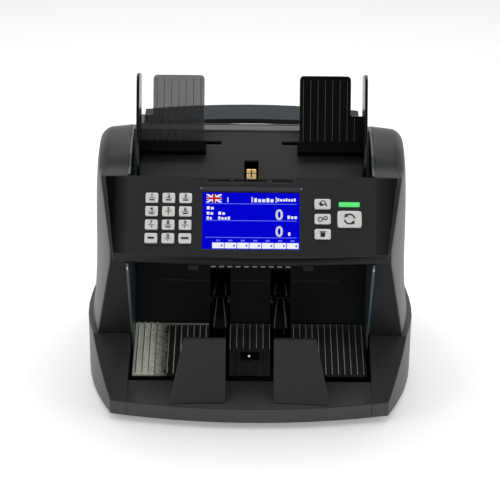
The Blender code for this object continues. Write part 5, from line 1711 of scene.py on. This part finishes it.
@dataclass
class Studio:
    """Pale floor, soft light and the photograph's camera."""

    eye: tuple[float, float, float] = (0.0, -1.2053, 0.5970)
    aim: tuple[float, float, float] = (0.0, 0.0, 0.110)
    lens_mm: float = 104.9
    roll: float = math.radians(0.53)
    shift: tuple[float, float] = (-0.0015, -0.0047)
    sensor_mm: float = 36
    floor_half: float = 6
    floor_glow: float = 0.3
    floor_roughness: float = 0.9
    lamps: tuple[tuple[str, tuple[float, float, float], float, float], ...] = (
        ("key_lamp", (-1.2, -0.35, 0.9), 0.9, 3.2),
        ("fill_lamp", (1.3, -0.3, 0.8), 0.9, 2.6),
        ("top_lamp", (0.0, 0.3, 1.5), 1.1, 9),
    )

    def camera(self) -> None:
        """Sets the camera at the photograph's angle."""
        data = bpy.data.cameras.new("camera")
        data.lens = self.lens_mm
        data.sensor_width = self.sensor_mm
        data.shift_x, data.shift_y = self.shift
        camera = bpy.data.objects.new("camera", data)
        way = (Vector(self.aim) - Vector(self.eye)).to_track_quat("-Z", "Y").to_matrix().to_4x4()
        camera.matrix_world = Matrix.Translation(self.eye) @ way @ Matrix.Rotation(self.roll, 4, "Z")
        bpy.context.scene.collection.objects.link(camera)
        bpy.context.scene.camera = camera

    def light(self, name: str, place: tuple[float, float, float], size: float, power: float) -> None:
        """Adds a soft square lamp that faces the machine.

        Args:
            name: the lamp's name.
            place: where it stands.
            size: its side in metres.
            power: its power in watts.
        """
        data = bpy.data.lights.new(name, "AREA")
        data.size = size
        data.energy = power
        lamp = bpy.data.objects.new(name, data)
        way = (Vector(self.aim) - Vector(place)).to_track_quat("-Z", "Y").to_matrix().to_4x4()
        lamp.matrix_world = Matrix.Translation(place) @ way
        bpy.context.scene.collection.objects.link(lamp)

    def sky(self, tree: bpy.types.NodeTree) -> None:
        """Paints the surroundings: white to the sides and the rear, dim overhead and in front.

        Args:
            tree: the world's node tree.
        """
        way = add_node(tree, "ShaderNodeTexCoord", {}, {}).outputs["Generated"]
        parts = add_node(tree, "ShaderNodeSeparateXYZ", {}, {"Vector": way}).outputs
        aside = add_node(tree, "ShaderNodeMath", {"operation": "ABSOLUTE"}, {}).outputs["Value"]
        tree.links.new(parts["X"], aside.node.inputs[0])
        sides = add_node(
            tree,
            "ShaderNodeMapRange",
            {"From Min": 0.4, "From Max": 0.85, "To Min": 0.0, "To Max": 0.6},
            {"Value": aside},
        )
        behind = add_node(
            tree,
            "ShaderNodeMapRange",
            {"From Min": -0.1, "From Max": 0.6, "To Min": 0.1, "To Max": 1.0},
            {"Value": parts["Y"]},
        )
        most = add_node(tree, "ShaderNodeMath", {"operation": "MAXIMUM"}, {})
        tree.links.new(sides.outputs["Result"], most.inputs[0])
        tree.links.new(behind.outputs["Result"], most.inputs[1])
        sky = tree.nodes["Background"]
        sky.inputs["Color"].default_value = linear("#FFFFFF")
        tree.links.new(most.outputs["Value"], sky.inputs["Strength"])

    def build(self) -> None:
        """Builds the floor, the sky, the lamps and the camera."""
        corners = np.array([[-1, -1, 0], [1, -1, 0], [1, 1, 0], [-1, 1, 0]]) * self.floor_half
        mesh = surface("floor", corners, [[0, 1, 2, 3]])
        paper, shader = shader_of("pale_floor")
        for socket, value in (("Base Color", linear("#FCFCFC")), ("Emission Color", linear("#FFFFFF"))):
            shader.inputs[socket].default_value = value
        shader.inputs["Emission Strength"].default_value = self.floor_glow
        shader.inputs["Roughness"].default_value = self.floor_roughness
        mesh.materials.append(paper)
        floor = bpy.data.objects.new("floor", mesh)
        bpy.context.scene.collection.objects.link(floor)
        world = bpy.data.worlds.new("studio")
        world.use_nodes = True
        self.sky(world.node_tree)
        bpy.context.scene.world = world
        bpy.context.scene.view_settings.view_transform = "Standard"
        for lamp in self.lamps:
            self.light(*lamp)
        self.camera()


def main() -> None:
    """Loads the frame, builds each sub-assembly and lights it."""
    logging.basicConfig(level=logging.INFO, format="%(name)s: %(message)s")
    shop = Shop(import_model(), {})
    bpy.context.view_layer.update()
    Casing(shop).build()
    ControlPanel(shop).build()
    Hopper(shop).build()
    StackerPocket(shop).build()
    RearAndDrive(shop).build()
    Studio().build()
    bpy.context.view_layer.update()


if __name__ == "__main__":
    main()
